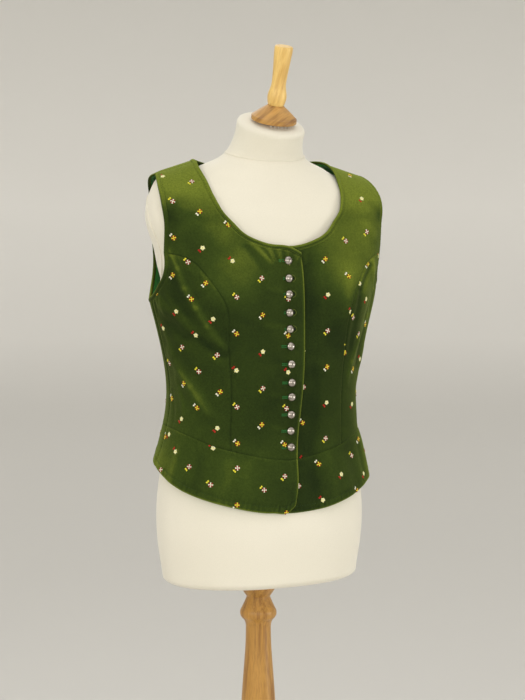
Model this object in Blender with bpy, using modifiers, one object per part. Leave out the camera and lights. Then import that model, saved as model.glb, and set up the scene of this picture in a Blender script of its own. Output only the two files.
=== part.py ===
"""Embroidered folk vest on a limbless dress form.

The vest is cut in the maker's pieces: two centre fronts with the buttoned overlap, two side fronts, a
back, a three-piece flared peplum, the lining of the back, a binding round the neck and one round each
armhole, and twelve domed buttons. It hangs on a jersey-covered torso with a wooden neck cap, a turned
handle, a turned column and a round base.

Every cloth piece is a grid bent onto one garment surface. A place on that surface is (angle, level):
the angle runs from centre front (0) over the wearer's left side (90) to centre back (180), negative on
the wearer's right side, and the level runs from hem to shoulder. Sizes are in millimetres here and
become metres as the meshes are made. The front faces -Y, +Z is up, the origin is on the floor under
the column.
"""

import math

import bmesh
import bpy
import numpy as np
from mathutils import Vector

MM = 0.001

# ------------------------------------------------------------------ driving dimensions, millimetres

WALL = 1.8  # velvet with its interlining
LINING_WALL = 1.0
LINING_GAP = 0.6
SEAM_GAP = 0.3
OVERLAP_EDGE = 23.0  # how far the right front runs past the buttons
UNDERLAP_EDGE = -16.0  # how far the left front runs under it
LAYER_DROP = 3.6  # how deep the left front lies under the right front
LAYER_RAMP = 22.0  # width over which it sinks
BINDING_WIDTH = 7.0
BINDING_PROUD = 0.7  # how far a binding stands out of the cloth on each face
BUTTON_RADIUS = 6.0
BUTTON_DOME = 6.4
BUTTON_HEIGHTS = (1285, 1259, 1236, 1209, 1185, 1160, 1134, 1107, 1086, 1060, 1036, 1012)

TORSO_BOTTOM = 803.0
NECK_TILT = 22.0  # degrees that the top of the neck leans forward
CAP_FOOT = (0, -53, 1487.3)  # where the cap's spigot meets the top of the neck
CAP_TILT = 18.0
CAP_RADIUS = 33.8
CAP_RIM = 7.0
CAP_CONE = 17.0
CAP_LIFT = 3.0  # shadow gap between the neck and the cap's rim
CAP_SPIGOT = 5.0
HANDLE_TILT = 18.6
HANDLE_LENGTH = 88.0
BASE_RADIUS = 205.0
BASE_HEIGHT = 32.0
BUTTON_LIFT = 0.5
# Turned profile of the column, (radius, height) from top to bottom.
COLUMN_PROFILE = (
    (0, 802.7), (27, 802.7), (27, 784), (24.4, 780), (19, 772), (18.6, 768), (23, 758), (27, 750), (28, 745),
    (26.5, 739), (22, 734), (19.6, 727), (19.2, 718), (20, 693), (22.5, 658), (25.5, 616),
    (27.5, 575), (28, 540),
    (26.5, 480), (22, 390), (18.5, 300), (17.5, 250), (22, 243), (25, 235), (22, 227), (18.5, 218), (20, 170),
    (25, 110), (30, 70), (36, 52), (36, BASE_HEIGHT + SEAM_GAP), (0, BASE_HEIGHT + SEAM_GAP),
)  # fmt: skip

RING_COLUMNS = (
    "level", "across", "half_width", "middle", "front", "back", "square_front", "square_back",
    "z_front", "z_side", "z_back",
)  # fmt: skip

# The garment surface, ring by ring from hem to neck. across is the X of the ring's middle. middle,
# front and back are the Y of the side line, of centre front and of centre back. The square columns are
# superellipse exponents. The z columns are the heights at centre front, at the side and at centre back.
VEST_RINGS = (
    (900, -4, 176, -12, -132, 109, 2.4, 2.1, 900, 900, 900),
    (950, -4, 171, -12, -125, 106, 2.4, 2.1, 950, 950, 950),
    (985, -3.5, 165, -12, -118, 101, 2.4, 2.1, 985, 985, 985),
    (1020, -3, 157, -12, -112, 95, 2.5, 2.1, 1020, 1020, 1020),
    (1060, -2.5, 149, -12, -113, 88, 2.6, 2.1, 1060, 1060, 1060),
    (1100, -2, 148, -12, -115, 84, 2.6, 2.1, 1100, 1100, 1100),
    (1147, -1, 156, -12, -113, 87, 2.6, 2.0, 1147, 1147, 1147),
    (1195, 0, 168, -12, -108, 92, 2.6, 2.0, 1195, 1195, 1195),
    (1235, 0, 178, -12, -106, 96, 2.7, 2.0, 1235, 1235, 1235),
    (1270, 0, 181, -12, -104, 98, 3.0, 2.0, 1270, 1270, 1270),
    (1305, 0, 184, -12, -100, 98, 3.3, 2.0, 1305, 1306, 1306),
    (1350, 0, 186, -12, -90, 98, 4.0, 1.95, 1338, 1352, 1352),
    (1400, 0, 177, -12, -82, 86, 3.8, 1.75, 1362, 1407, 1390),
    (1425, 0, 148, -12, -76, 71, 2.6, 2.0, 1378, 1419, 1409),
    (1452, 0, 107, -12, -72, 54, 2.3, 2.0, 1392, 1431, 1430),
    (1480, 0, 70, -12, -68, 40, 2.2, 2.0, 1406, 1444, 1446),
)

# The dress form, from the lower edge of its body to the top of its neck, which leans forward.
TORSO_RINGS = (
    (803, -3, 143, -12, -107, 84, 2.2, 2.1, 803, 803, 803),
    (806, -3, 149, -12, -113, 89, 2.2, 2.1, 806, 806, 806),
    (813, -3, 153, -12, -117, 93, 2.2, 2.1, 813, 813, 813),
    (840, -3, 157, -12, -120, 97, 2.2, 2.1, 840, 840, 840),
    (890, -3, 162, -12, -124, 101, 2.2, 2.1, 890, 890, 890),
    (950, -3, 159, -12, -118, 98, 2.2, 2.1, 950, 950, 950),
    (1010, -3, 146, -12, -103, 86, 2.2, 2.1, 1010, 1010, 1010),
    (1075, -2, 130, -12, -95, 74, 2.2, 2.1, 1075, 1075, 1075),
    (1130, -1, 137, -12, -97, 76, 2.3, 2.0, 1130, 1130, 1130),
    (1180, 0, 149, -12, -99, 83, 2.4, 2.0, 1180, 1180, 1180),
    (1230, 0, 163, -12, -98, 86, 2.5, 2.0, 1230, 1230, 1230),
    (1270, 0, 166, -12, -96, 88, 2.6, 2.0, 1270, 1270, 1270),
    (1305, 0, 171, -12, -92, 88, 2.8, 2.0, 1305, 1306, 1306),
    (1335, 0, 182, -12, -86, 87, 2.8, 2.0, 1329, 1337, 1337),
    (1365, 0, 182, -12, -82, 83, 2.8, 1.95, 1348, 1370, 1366),
    (1390, 0, 172, -12, -78, 77, 2.7, 1.8, 1360, 1398, 1383),
    (1405, 0, 162, -12, -76, 72, 2.6, 1.8, 1367, 1407, 1392),
    (1430, 0, 122, -12, -73, 60, 2.3, 2.0, 1387, 1413.5, 1407),
    (1450, 0, 97, -15, -71, 50, 2.2, 2.0, 1404, 1425, 1419),
    (1470, 0, 74, -19, -69, 34, 2.1, 2.0, 1420, 1434, 1437),
    (1485, 0, 62, -24, -68, 20, 2.0, 2.0, 1431, 1443, 1451),
    (1505, 0, 54, -33, -77, 9, 2.0, 2.0, 1443, 1459, 1474),
    (1530, 0, 51, -43, -91, 4, 2.0, 2.0, 1459, 1480, 1500),
    (1537, 0, 49, -46, -94, 1, 2.0, 2.0, 1465, 1486, 1507),
    (1541, 0, 44, -48, -91, -5, 2.0, 2.0, 1470, 1488.5, 1507),
)
NECK_BASE_LEVEL = 1485.0  # where the neck's seam runs

# Fullness of each bust: the peak's place and reach on the surface.
BUST_ANGLE = 33.0
BUST_ANGLE_REACH = 17.0
BUST_LEVEL = 1222.0
BUST_REACH_UP = 42.0
BUST_REACH_DOWN = 52.0
VEST_BUST = 15.0
TORSO_BUST = 13.0

# Largest folds of the cloth: a soft ridge (+) or trough (-) from one place of the surface to another.
FOLD_COLUMNS = ("angle_from", "level_from", "angle_to", "level_to", "reach", "rise")
FOLDS = (
    (-74, 1222, -40, 1160, 11, 3.0),
    (-70, 1200, -38, 1150, 12, -3.0),
    (-80, 1150, -56, 1080, 12, 2.5),
    (58, 1255, 52, 1130, 15, -5.0),
    (72, 1262, 64, 1110, 14, 3.0),
    (68, 1110, 64, 1040, 16, -5.0),
    (58, 1010, 64, 925, 14, 3.5),
    (40, 1000, 44, 925, 16, -2.5),
    (-30, 985, -34, 915, 18, 2.0),
    (-120, 1010, -124, 960, 18, 3.0),
    (130, 1010, 134, 960, 18, 3.0),
    (-93, 990, -93, 925, 40, 4.5),
    (84, 1000, 84, 925, 34, -3.0),
    (-94, 1225, -92, 1150, 18, 2.0),
    (86, 1085, 86, 1050, 22, -4.5),
    (118, 1215, 140, 1130, 15, -3.0),
    (-118, 1215, -140, 1130, 15, -3.0),
    (176, 1110, 184, 1050, 18, -2.0),
)

# Edges and seams of the cut, right half unless a sign says otherwise.
NECKLINE_X_Z = (
    (0, 1307), (22, 1309), (42, 1314), (60, 1322), (77, 1336), (91, 1353), (100.5, 1371),
    (105.5, 1388), (107.5, 1404),
)  # fmt: skip
NECK_CORNER_X_Z = ((22.5, 1297), (17, 1302.5), (9, 1305.5))  # rounded top corner of the overlap
NECK_POINT_LEVEL = 1453.0  # where the neckline crosses the shoulder seam
BACK_NECK_DROP = 8.0  # how far the neckline sinks from there to centre back, in levels
UNDERARM_LEVEL = 1234.0  # top of the side seam
TIP_LEVEL = 1406.0  # where the armhole crosses the shoulder seam
ARMHOLE_FRONT_Y_Z = ((-46, 1387), (-57, 1370), (-61, 1350), (-61, 1330), (-59, 1311), (-57, 1297))
ARMHOLE_LOW_Y_Z = ((-57, 1297), (-56, 1280), (-49, 1262), (-34, 1247), (-15, 1235), (-12, 1234))
ARMHOLE_BACK_Y_Z = (
    (-12, 1234), (8, 1229), (24, 1233), (38, 1248), (47, 1270), (50, 1306), (47, 1342), (36, 1375),
    (20, 1395),
)
PRINCESS_X_Z = (
    (91, 1008), (91, 1040), (90, 1070), (90.5, 1100), (92.5, 1130), (95, 1165), (97.5, 1200), (101, 1217),
    (112, 1240), (127.5, 1265), (150, 1288),
)  # fmt: skip
# Height of the waist seam and of the hem at each angle from centre front.
WAIST_HEIGHTS = (
    (0, 993), (12, 997), (25, 1005), (38, 1014), (55, 1028), (70, 1036), (90, 1040), (130, 1041),
    (180, 1041),
)
HEM_HEIGHTS = (
    (0, 917), (15, 920), (30, 929), (48, 943), (61, 954), (75, 967), (90, 980), (130, 991), (180, 993),
)
# A row of the back's grid that dips under the armholes.
SHELF_HEIGHTS = ((90, 1234), (97, 1216), (105, 1201), (118, 1190), (140, 1192), (180, 1196))
# The overlap's edge swings back towards the middle below the waist.
OVERLAP_X_Z = (
    (22.5, 1297), (24, 1280), (25, 1250), (25, 1200), (22, 1130), (18, 1080), (14, 1037), (10, 993),
)
OVERLAP_PEPLUM_X_Z = ((10, 993), (9, 970), (6, 948), (1, 928))

COLOURS = {
    "velvet": ((0.045, 0.095, 0.012), 0.85, 0.0),
    "lining": ((0.02, 0.16, 0.03), 0.6, 0.0),
    "jersey": ((0.84, 0.80, 0.68), 0.9, 0.0),
    "handle_wood": ((0.76, 0.50, 0.22), 0.5, 0.0),
    "stand_wood": ((0.52, 0.27, 0.08), 0.5, 0.0),
    "silver": ((0.55, 0.53, 0.50), 0.3, 1.0),
}


# ------------------------------------------------------------------ curves through short tables


def natural_spline(table, column):
    """Smooth function of the table's first column through one other column."""
    rows = np.array(table, float)
    x, y = rows[:, 0], rows[:, column]
    n = len(x)
    step = np.diff(x)
    system = np.eye(n)
    right = np.zeros(n)
    for i in range(1, n - 1):
        system[i, i - 1 : i + 2] = step[i - 1], 2 * (step[i - 1] + step[i]), step[i]
        right[i] = 6 * ((y[i + 1] - y[i]) / step[i] - (y[i] - y[i - 1]) / step[i - 1])
    bend = np.linalg.solve(system, right)

    def value(at):
        at = np.clip(at, x[0], x[-1])
        i = np.clip(np.searchsorted(x, at) - 1, 0, n - 2)
        h = step[i]
        a, b = (x[i + 1] - at) / h, (at - x[i]) / h
        return a * y[i] + b * y[i + 1] + ((a**3 - a) * bend[i] + (b**3 - b) * bend[i + 1]) * h * h / 6

    return value


def ramp(x, start, end):
    """Smooth step from 0 at start to 1 at end."""
    t = np.clip((x - start) / (end - start), 0, 1)
    return t * t * (3 - 2 * t)


# ------------------------------------------------------------------ the two body surfaces


class Surface:
    """A body surface through a table of rings, with its busts and folds."""

    def __init__(self, rings, bust, folds=()):
        self.column = {name: natural_spline(rings, i) for i, name in enumerate(RING_COLUMNS) if i}
        self.bust = bust
        self.folds = folds

    def ring_point(self, angle, level):
        ring = {name: read(level) for name, read in self.column.items()}
        side, forward = math.sin(math.radians(angle)), math.cos(math.radians(angle))
        facing_front = forward >= 0
        square = ring["square_front"] if facing_front else ring["square_back"]
        end = ring["front"] if facing_front else ring["back"]
        swell = (abs(side) ** square + abs(forward) ** square) ** (-1 / square)
        share = swell * forward
        x = ring["across"] + ring["half_width"] * swell * side
        y = ring["middle"] + (end - ring["middle"]) * abs(share)
        lean = (ring["z_front"] - ring["z_back"]) / 2
        drop = (ring["z_front"] + ring["z_back"]) / 2 - ring["z_side"]
        z = ring["z_side"] + lean * share + drop * share * share
        if facing_front:
            reach = BUST_REACH_UP if level > BUST_LEVEL else BUST_REACH_DOWN
            off_peak = (abs(angle) - BUST_ANGLE) / BUST_ANGLE_REACH
            y -= self.bust * math.exp(-(off_peak**2) - ((level - BUST_LEVEL) / reach) ** 2)
        return np.array([x, y, z])

    def slopes(self, angle, level):
        """How the point moves for one degree of angle and for one level."""
        by_angle = (self.ring_point(angle + 0.5, level) - self.ring_point(angle - 0.5, level)) / 1.0
        by_level = (self.ring_point(angle, level + 1) - self.ring_point(angle, level - 1)) / 2.0
        return by_angle, by_level

    def normal(self, angle, level):
        by_angle, by_level = self.slopes(angle, level)
        out = np.cross(by_angle, by_level)
        return out / np.linalg.norm(out)

    def fold(self, angle, level):
        rise = 0.0
        for angle_from, level_from, angle_to, level_to, reach, height in self.folds:
            # A degree of angle is about 2.6 mm of cloth at the side.
            start = np.array([angle_from * 2.6, level_from])
            run = np.array([angle_to * 2.6, level_to]) - start
            turn = (angle - angle_from + 180) % 360 - 180
            away = np.array([turn * 2.6 + angle_from * 2.6, level]) - start
            length = np.linalg.norm(run)
            t = away @ run / length**2
            across = np.linalg.norm(away - np.clip(t, 0, 1) * run)
            bell = math.exp(-((across / reach) ** 2))
            rise += height * bell * math.sin(math.pi * np.clip(0.5 * t + 0.25, 0.1, 0.9))
        return rise

    def point(self, angle, level, out=0.0):
        """Point of the surface with its folds, moved out along the normal."""
        return self.ring_point(angle, level) + (self.fold(angle, level) + out) * self.normal(angle, level)

    def find(self, first, second, axes, guess):
        """The (angle, level) where two of the point's coordinates have the given values."""
        place = np.array(guess, float)
        for _ in range(30):
            miss = self.ring_point(*place)[list(axes)] - (first, second)
            if np.abs(miss).max() < 1e-6:
                break
            slope = np.column_stack([s[list(axes)] for s in self.slopes(*place)])
            place -= np.clip(np.linalg.solve(slope, miss), (-8, -15), (8, 15))
        return place


VEST = Surface(VEST_RINGS, VEST_BUST, FOLDS)
TORSO = Surface(TORSO_RINGS, TORSO_BUST)


# ------------------------------------------------------------------ seams and edges, as places


def front_places(x_z, side):
    """Places of (X, Z) pairs on the front, on the wearer's left for side 1 and right for side -1."""
    places = []
    for x, z in x_z:
        guess = (math.degrees(math.atan2(side * x, 110)), z + 0.2 * max(0, z - 1300))
        places.append(tuple(VEST.find(side * x, z, (0, 2), guess)))
    return places


def side_places(y_z, angle_guess):
    """Places of (Y, Z) pairs on the wearer's left side."""
    return [tuple(VEST.find(y, z, (1, 2), (angle_guess, z + 0.2 * max(0, z - 1300)))) for y, z in y_z]


def trace(places, segments, margins=(0, 0)):
    """Places at even steps along the smooth line through the given places.

    margins lengthen the first and the last step, where a wide binding takes part of it.
    """
    spots = [VEST.ring_point(*place) for place in places]
    steps = [np.linalg.norm(after - before) for before, after in zip(spots, spots[1:])]
    table = np.column_stack([np.concatenate([[0], np.cumsum(steps)]), places])
    length = table[-1, 0]
    at = np.linspace(margins[0], length - margins[1], segments + 1)
    at[[0, -1]] = 0, length
    return np.column_stack([natural_spline(table, column)(at) for column in (1, 2)])


def chain(*runs):
    """Runs of places joined head to tail, each shared place once."""
    return np.concatenate([runs[0]] + [run[1:] for run in runs[1:]])


def on_right(run):
    """A run of the left front on the right front."""
    return run * (-1, 1)


def on_right_back(run):
    """A run of the left half of the back on its right half."""
    return (360, 0) + run * (-1, 1)


def height_run(heights, angles):
    """Places of a level-by-angle table at the given angles, the same on both halves."""
    read = natural_spline(heights, 1)
    return np.array([(angle, float(read(abs(angle) if angle <= 180 else 360 - angle))) for angle in angles])


def with_height(run, heights, end):
    """The run with one end's level taken from a level-by-angle table."""
    run = [tuple(place) for place in run]
    run[end] = tuple(height_run(heights, [run[end][0]])[0])
    return run


# Grid cells of each edge. Edges that meet at a seam share them.
ROWS_PRINCESS, ROWS_ARM_FRONT, ROWS_ARM_BACK = 15, 7, 9
ROWS_EDGE, ROWS_NECK = 12, 10
ROWS_PEPLUM = 4
ROW_LINING = 12  # row of the back where its lining ends
EVENING_ROUNDS = 2
COLUMNS_CENTRE, COLUMNS_SIDE, COLUMNS_BACK_NECK = 7, 6, 12

ARM_CORNER = side_places(ARMHOLE_LOW_Y_Z[:1], 65)[0]
PRINCESS = trace(
    with_height(front_places(PRINCESS_X_Z, 1), WAIST_HEIGHTS, 0) + [ARM_CORNER],
    ROWS_PRINCESS,
    (0, BINDING_WIDTH),
)
PRINCESS_RIGHT = trace(
    with_height(front_places(PRINCESS_X_Z, -1), WAIST_HEIGHTS, 0) + [(-ARM_CORNER[0], ARM_CORNER[1])],
    ROWS_PRINCESS, (0, BINDING_WIDTH),
)  # fmt: skip
SIDE_SEAM = trace(
    [height_run(WAIST_HEIGHTS, [90])[0], (90, UNDERARM_LEVEL)], ROWS_PRINCESS, (0, BINDING_WIDTH)
)
SHOULDER = trace([(90, NECK_POINT_LEVEL), (90, TIP_LEVEL)], COLUMNS_CENTRE, (BINDING_WIDTH, BINDING_WIDTH))
ARM_FRONT = trace(
    side_places(ARMHOLE_FRONT_Y_Z[::-1], 65) + [(90, TIP_LEVEL)], ROWS_ARM_FRONT
)
ARM_LOW = trace(side_places(ARMHOLE_LOW_Y_Z[:-1], 70) + [(90, UNDERARM_LEVEL)], COLUMNS_SIDE)
ARM_BACK = trace(
    [(90, UNDERARM_LEVEL)] + side_places(ARMHOLE_BACK_Y_Z[1:], 110) + [(90, TIP_LEVEL)], ROWS_ARM_BACK
)
NECK_LEFT = trace(
    [front_places([(-UNDERLAP_EDGE, 1308)], -1)[0]]
    + front_places(NECKLINE_X_Z, 1)
    + [(90, NECK_POINT_LEVEL)],
    ROWS_NECK,
)
NECK_RIGHT = trace(
    front_places(NECK_CORNER_X_Z, 1) + front_places(NECKLINE_X_Z, -1) + [(-90, NECK_POINT_LEVEL)], ROWS_NECK
)
BACK_NECK = trace(
    [
        (angle, NECK_POINT_LEVEL - BACK_NECK_DROP * math.sin(math.radians(angle - 90)) ** 2)
        for angle in range(90, 271, 18)
    ],
    COLUMNS_BACK_NECK,
)
OVERLAP = trace(
    with_height(front_places(OVERLAP_X_Z[::-1], 1), WAIST_HEIGHTS, 0), ROWS_EDGE, (0, BINDING_WIDTH)
)
UNDERLAP = trace(
    with_height(front_places([(-UNDERLAP_EDGE, z) for z in (993, 1150, 1308)], -1), WAIST_HEIGHTS, 0),
    ROWS_EDGE, (0, BINDING_WIDTH),
)  # fmt: skip
OVERLAP_PEPLUM = trace(
    with_height(front_places(OVERLAP_PEPLUM_X_Z[::-1], 1), WAIST_HEIGHTS, -1), ROWS_PEPLUM
)
UNDERLAP_PEPLUM = trace(
    with_height(
        with_height(front_places([(-UNDERLAP_EDGE, z) for z in (920, 993)], -1), HEM_HEIGHTS, 0),
        WAIST_HEIGHTS,
        -1,
    ),
    ROWS_PEPLUM,
)
PEPLUM_SIDE = trace([height_run(HEM_HEIGHTS, [90])[0], height_run(WAIST_HEIGHTS, [90])[0]], ROWS_PEPLUM)

WAIST_RIGHT_CENTRE = height_run(
    WAIST_HEIGHTS, np.linspace(PRINCESS_RIGHT[0][0], OVERLAP[0][0], COLUMNS_CENTRE + 1)
)
WAIST_LEFT_CENTRE = height_run(WAIST_HEIGHTS, np.linspace(UNDERLAP[0][0], PRINCESS[0][0], COLUMNS_CENTRE + 1))
WAIST_SIDE = height_run(WAIST_HEIGHTS, np.linspace(PRINCESS[0][0], 90, COLUMNS_SIDE + 1))
WAIST_RIGHT_SIDE = height_run(WAIST_HEIGHTS, np.linspace(-90, PRINCESS_RIGHT[0][0], COLUMNS_SIDE + 1))
WAIST_RIGHT = chain(WAIST_RIGHT_SIDE, WAIST_RIGHT_CENTRE)
WAIST_LEFT = chain(WAIST_LEFT_CENTRE, WAIST_SIDE)
COLUMNS_BACK = 2 * COLUMNS_CENTRE + COLUMNS_BACK_NECK
WAIST_BACK = height_run(WAIST_HEIGHTS, np.linspace(90, 270, COLUMNS_BACK + 1))
BACK_SHELF = height_run(SHELF_HEIGHTS, WAIST_BACK[:, 0])


def hem_run(waist, first, last):
    """The hem under a piece of the waist seam, from place first to place last."""
    angles = np.interp(waist[:, 0], waist[[0, -1], 0], (first[0], last[0]))
    return np.vstack([first, height_run(HEM_HEIGHTS, angles)[1:-1], last])


# ------------------------------------------------------------------ moving edges inwards


def inset(run, before, after, amounts, closed=False):
    """The run's places moved to the left of its travel, square to it on the cloth.

    amounts holds the distance for each of the run's segments. before and after are the (place, amount)
    of the neighbouring segments of the outline, or None at a free end.
    """
    count = len(run)
    places = [tuple(place) for place in run]
    steps = [(places[i], places[i + 1], amounts[i]) for i in range(count - 1)]
    if closed:
        steps.append((places[-1], places[0], amounts[-1]))
    moved = []
    for i in range(count):
        if closed:
            incoming, outgoing = steps[i - 1], steps[i]
        else:
            incoming = steps[i - 1] if i else before and (before[0], places[0], before[1])
            outgoing = steps[i] if i < count - 1 else after and (places[-1], after[0], after[1])
        moved.append(corner_move(places[i], incoming or outgoing, outgoing or incoming))
    return np.array(moved)


def corner_move(place, incoming, outgoing):
    """Where a corner goes when the segments on both sides of it move inwards."""
    normal = VEST.normal(*place)
    inward = []
    for start, end, _ in (incoming, outgoing):
        travel = VEST.ring_point(*end) - VEST.ring_point(*start)
        across = np.cross(normal, travel)
        inward.append(across / np.linalg.norm(across))
    first, second = incoming[2], outgoing[2]
    cosine = inward[0] @ inward[1]
    if cosine > 0.999:
        move = inward[0] * (first + second) / 2
    else:
        share = np.linalg.solve([[1, cosine], [cosine, 1]], [first, second])
        move = share[0] * inward[0] + share[1] * inward[1]
    slope = np.column_stack(VEST.slopes(*place))
    return np.array(place) + np.linalg.lstsq(slope, move, rcond=None)[0]


# ------------------------------------------------------------------ pieces


def new_object(name, mesh_source, material, smooth=True):
    """Object from a bmesh, with its faces turned outwards and its material."""
    mesh = bpy.data.meshes.new(name)
    bmesh.ops.recalc_face_normals(mesh_source, faces=mesh_source.faces)
    mesh_source.to_mesh(mesh)
    mesh_source.free()
    if smooth:
        mesh.shade_smooth()
        mesh.set_sharp_from_angle(angle=math.radians(40))
    mesh.materials.append(bpy.data.materials[material])
    made = bpy.data.objects.new(name, mesh)
    PARTS.objects.link(made)
    return made


def flat(place):
    return 0.0


def under_overlap(place):
    """How far the left front lies in, under the right front."""
    x = VEST.ring_point(*place)[0]
    return -LAYER_DROP * (1 - ramp(x, OVERLAP_EDGE + 9, OVERLAP_EDGE + 9 + LAYER_RAMP))


def panel_places(bottom, right, top, left, shelf=None):
    """Grid of places between four edges, each a list of (run, inset) head to tail.

    bottom and top run from smaller to larger angles, left and right run upwards. shelf is the run of
    one row across the panel, which starts and ends where the first part of left and right ends.
    """
    loop = bottom + right + [(run[::-1], amount) for run, amount in top[::-1] + left[::-1]]
    outline = np.concatenate([run[:-1] for run, _ in loop])
    amounts = [amount for run, amount in loop for _ in run[:-1]]
    moved = inset(outline, None, None, amounts, closed=True)
    columns = sum(len(run) - 1 for run, _ in bottom)
    rows = sum(len(run) - 1 for run, _ in left)
    moved = np.vstack([moved, moved[:1]])
    low = moved[: columns + 1]
    far = moved[columns : columns + rows + 1]
    high = moved[columns + rows : 2 * columns + rows + 1][::-1]
    near = moved[2 * columns + rows :][::-1]
    if shelf is None:
        return patch(low, far, high, near)
    row = len(left[0][0]) - 1
    middle = np.vstack([near[row], shelf[1:-1], far[row]])
    lower = patch(low, far[: row + 1], middle, near[: row + 1])
    return np.vstack([lower, patch(middle, far[row:], high, near[row:])[1:]])


def spots(places):
    """Points of the unfolded surface at the places."""
    return np.array([VEST.ring_point(*place) for place in places])


def settle(point, place):
    """The place of the surface nearest a point, looked for from a place near it."""
    for _ in range(8):
        slope = np.column_stack(VEST.slopes(*place))
        place = place + np.linalg.lstsq(slope, point - VEST.ring_point(*place), rcond=None)[0]
    return place


def blend(low, far, high, near):
    """Grid between four edges, each inner point led by the four edge points of its row and column."""
    s = np.linspace(0, 1, len(low))[:, None]
    t = np.linspace(0, 1, len(near))[:, None, None]
    corners = (1 - t) * ((1 - s) * low[0] + s * low[-1]) + t * ((1 - s) * high[0] + s * high[-1])
    return (1 - t) * low + t * high + (1 - s) * near[:, None] + s * far[:, None] - corners


def patch(low, far, high, near):
    """Grid of places spanning four edges of places, evened out so that its lines run smoothly."""
    places = blend(low, far, high, near)
    p = blend(spots(low), spots(far), spots(high), spots(near))
    for _ in range(EVENING_ROUNDS):
        along_row = (p[1:-1, 2:] - p[1:-1, :-2]) / 2
        up = (p[2:, 1:-1] - p[:-2, 1:-1]) / 2
        a = (up**2).sum(-1, keepdims=True)
        b = (along_row * up).sum(-1, keepdims=True)
        c = (along_row**2).sum(-1, keepdims=True)
        twist = (p[2:, 2:] - p[2:, :-2] - p[:-2, 2:] + p[:-2, :-2]) / 4
        beside = p[1:-1, 2:] + p[1:-1, :-2]
        above = p[2:, 1:-1] + p[:-2, 1:-1]
        p[1:-1, 1:-1] = (a * beside + c * above - 2 * b * twist) / (2 * (a + c))
    for i in range(1, len(p) - 1):
        for k in range(1, len(p[0]) - 1):
            places[i, k] = settle(p[i, k], places[i, k])
    return places


def cloth(name, material, places, wall=WALL, depth=0.0, layer=flat):
    """Cloth wall over a grid of places: a flat grid bent onto the surface, extruded through the cloth."""
    rows, columns = places.shape[0] - 1, places.shape[1] - 1
    mesh = bmesh.new()
    bmesh.ops.create_grid(mesh, x_segments=columns, y_segments=rows, size=0.5)
    outer = {
        vert: (round((vert.co.y + 0.5) * rows), round((vert.co.x + 0.5) * columns))
        for vert in mesh.verts
    }
    cell_at = {tuple(vert.co): cell for vert, cell in outer.items()}
    through = bmesh.ops.extrude_face_region(mesh, geom=mesh.faces[:], use_keep_orig=True)
    inner = {
        vert: cell_at[tuple(vert.co)] for vert in through["geom"] if isinstance(vert, bmesh.types.BMVert)
    }
    for verts, down in ((outer, depth), (inner, depth + wall)):
        for vert, cell in verts.items():
            place = places[cell]
            vert.co = Vector(VEST.point(*place, out=layer(place) - down)) * MM
    return new_object(name, mesh, material)


def loft(name, material, sections, closed=False):
    """Solid through sections of equal count, capped at both ends or joined end to end."""
    mesh = bmesh.new()
    rings = [[mesh.verts.new(Vector(point) * MM) for point in section] for section in sections]
    pairs = list(zip(rings, rings[1:]))
    if closed:
        pairs.append((rings[-1], rings[0]))
    for low, high in pairs:
        for i in range(len(low)):
            j = (i + 1) % len(low)
            mesh.faces.new((low[i], low[j], high[j], high[i]))
    if not closed:
        mesh.faces.new(rings[0])
        mesh.faces.new(rings[-1])
    return new_object(name, mesh, material)


def binding(name, run, side, layers, closed, before=None, after=None):
    """Folded strip round a cut edge. side is 1 where the cloth lies left of the run's travel.

    before and after are the neighbouring places of the outline that its cut ends lie along.
    """
    top, under = BINDING_PROUD, -WALL - BINDING_PROUD
    fold, tuck = 1.3, 0.7
    section = (
        (0.0, top - fold), (fold, top), (BINDING_WIDTH - tuck, top), (BINDING_WIDTH, top - tuck),
        (BINDING_WIDTH, under + tuck), (BINDING_WIDTH - tuck, under), (fold, under), (0.0, under + fold),
    )  # fmt: skip
    segments = len(run) if closed else len(run) - 1
    lines = [inset(run, before, after, [side * across] * segments, closed) for across, _ in section]
    sections = []
    for k in range(len(run)):
        sections.append(
            [
                VEST.point(*line[k], out=height + layers[k](line[k]))
                for line, (_, height) in zip(lines, section)
            ]
        )
    return loft(name, "velvet", sections, closed)


def turned(name, material, profile, place, tilt=0.0, steps=24):
    """Solid of revolution. profile is (radius, height) from top to bottom, in millimetres."""
    mesh = bmesh.new()
    verts = [mesh.verts.new((radius * MM, 0, height * MM)) for radius, height in profile]
    for upper, lower in zip(verts, verts[1:]):
        mesh.edges.new((upper, lower))
    data = bpy.data.meshes.new(name)
    mesh.to_mesh(data)
    mesh.free()
    data.materials.append(bpy.data.materials[material])
    made = bpy.data.objects.new(name, data)
    PARTS.objects.link(made)
    screw = made.modifiers.new("turning", "SCREW")
    screw.steps = screw.render_steps = steps
    screw.use_merge_vertices = True
    screw.merge_threshold = 0.00001
    screw.use_smooth_shade = True
    made.location = Vector(place) * MM
    made.rotation_euler = (math.radians(tilt), 0, 0)
    return made


# ------------------------------------------------------------------ scene


for old in list(bpy.data.objects):
    bpy.data.objects.remove(old, do_unlink=True)
PARTS = bpy.data.collections.new("folk_vest_on_dress_form")
bpy.context.scene.collection.children.link(PARTS)
for finish_name, (colour, roughness, metallic) in COLOURS.items():
    finish = bpy.data.materials.new(finish_name)
    finish.use_nodes = True
    shader = finish.node_tree.nodes["Principled BSDF"]
    shader.inputs["Base Color"].default_value = (*colour, 1)
    shader.inputs["Roughness"].default_value = roughness
    shader.inputs["Metallic"].default_value = metallic


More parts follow.
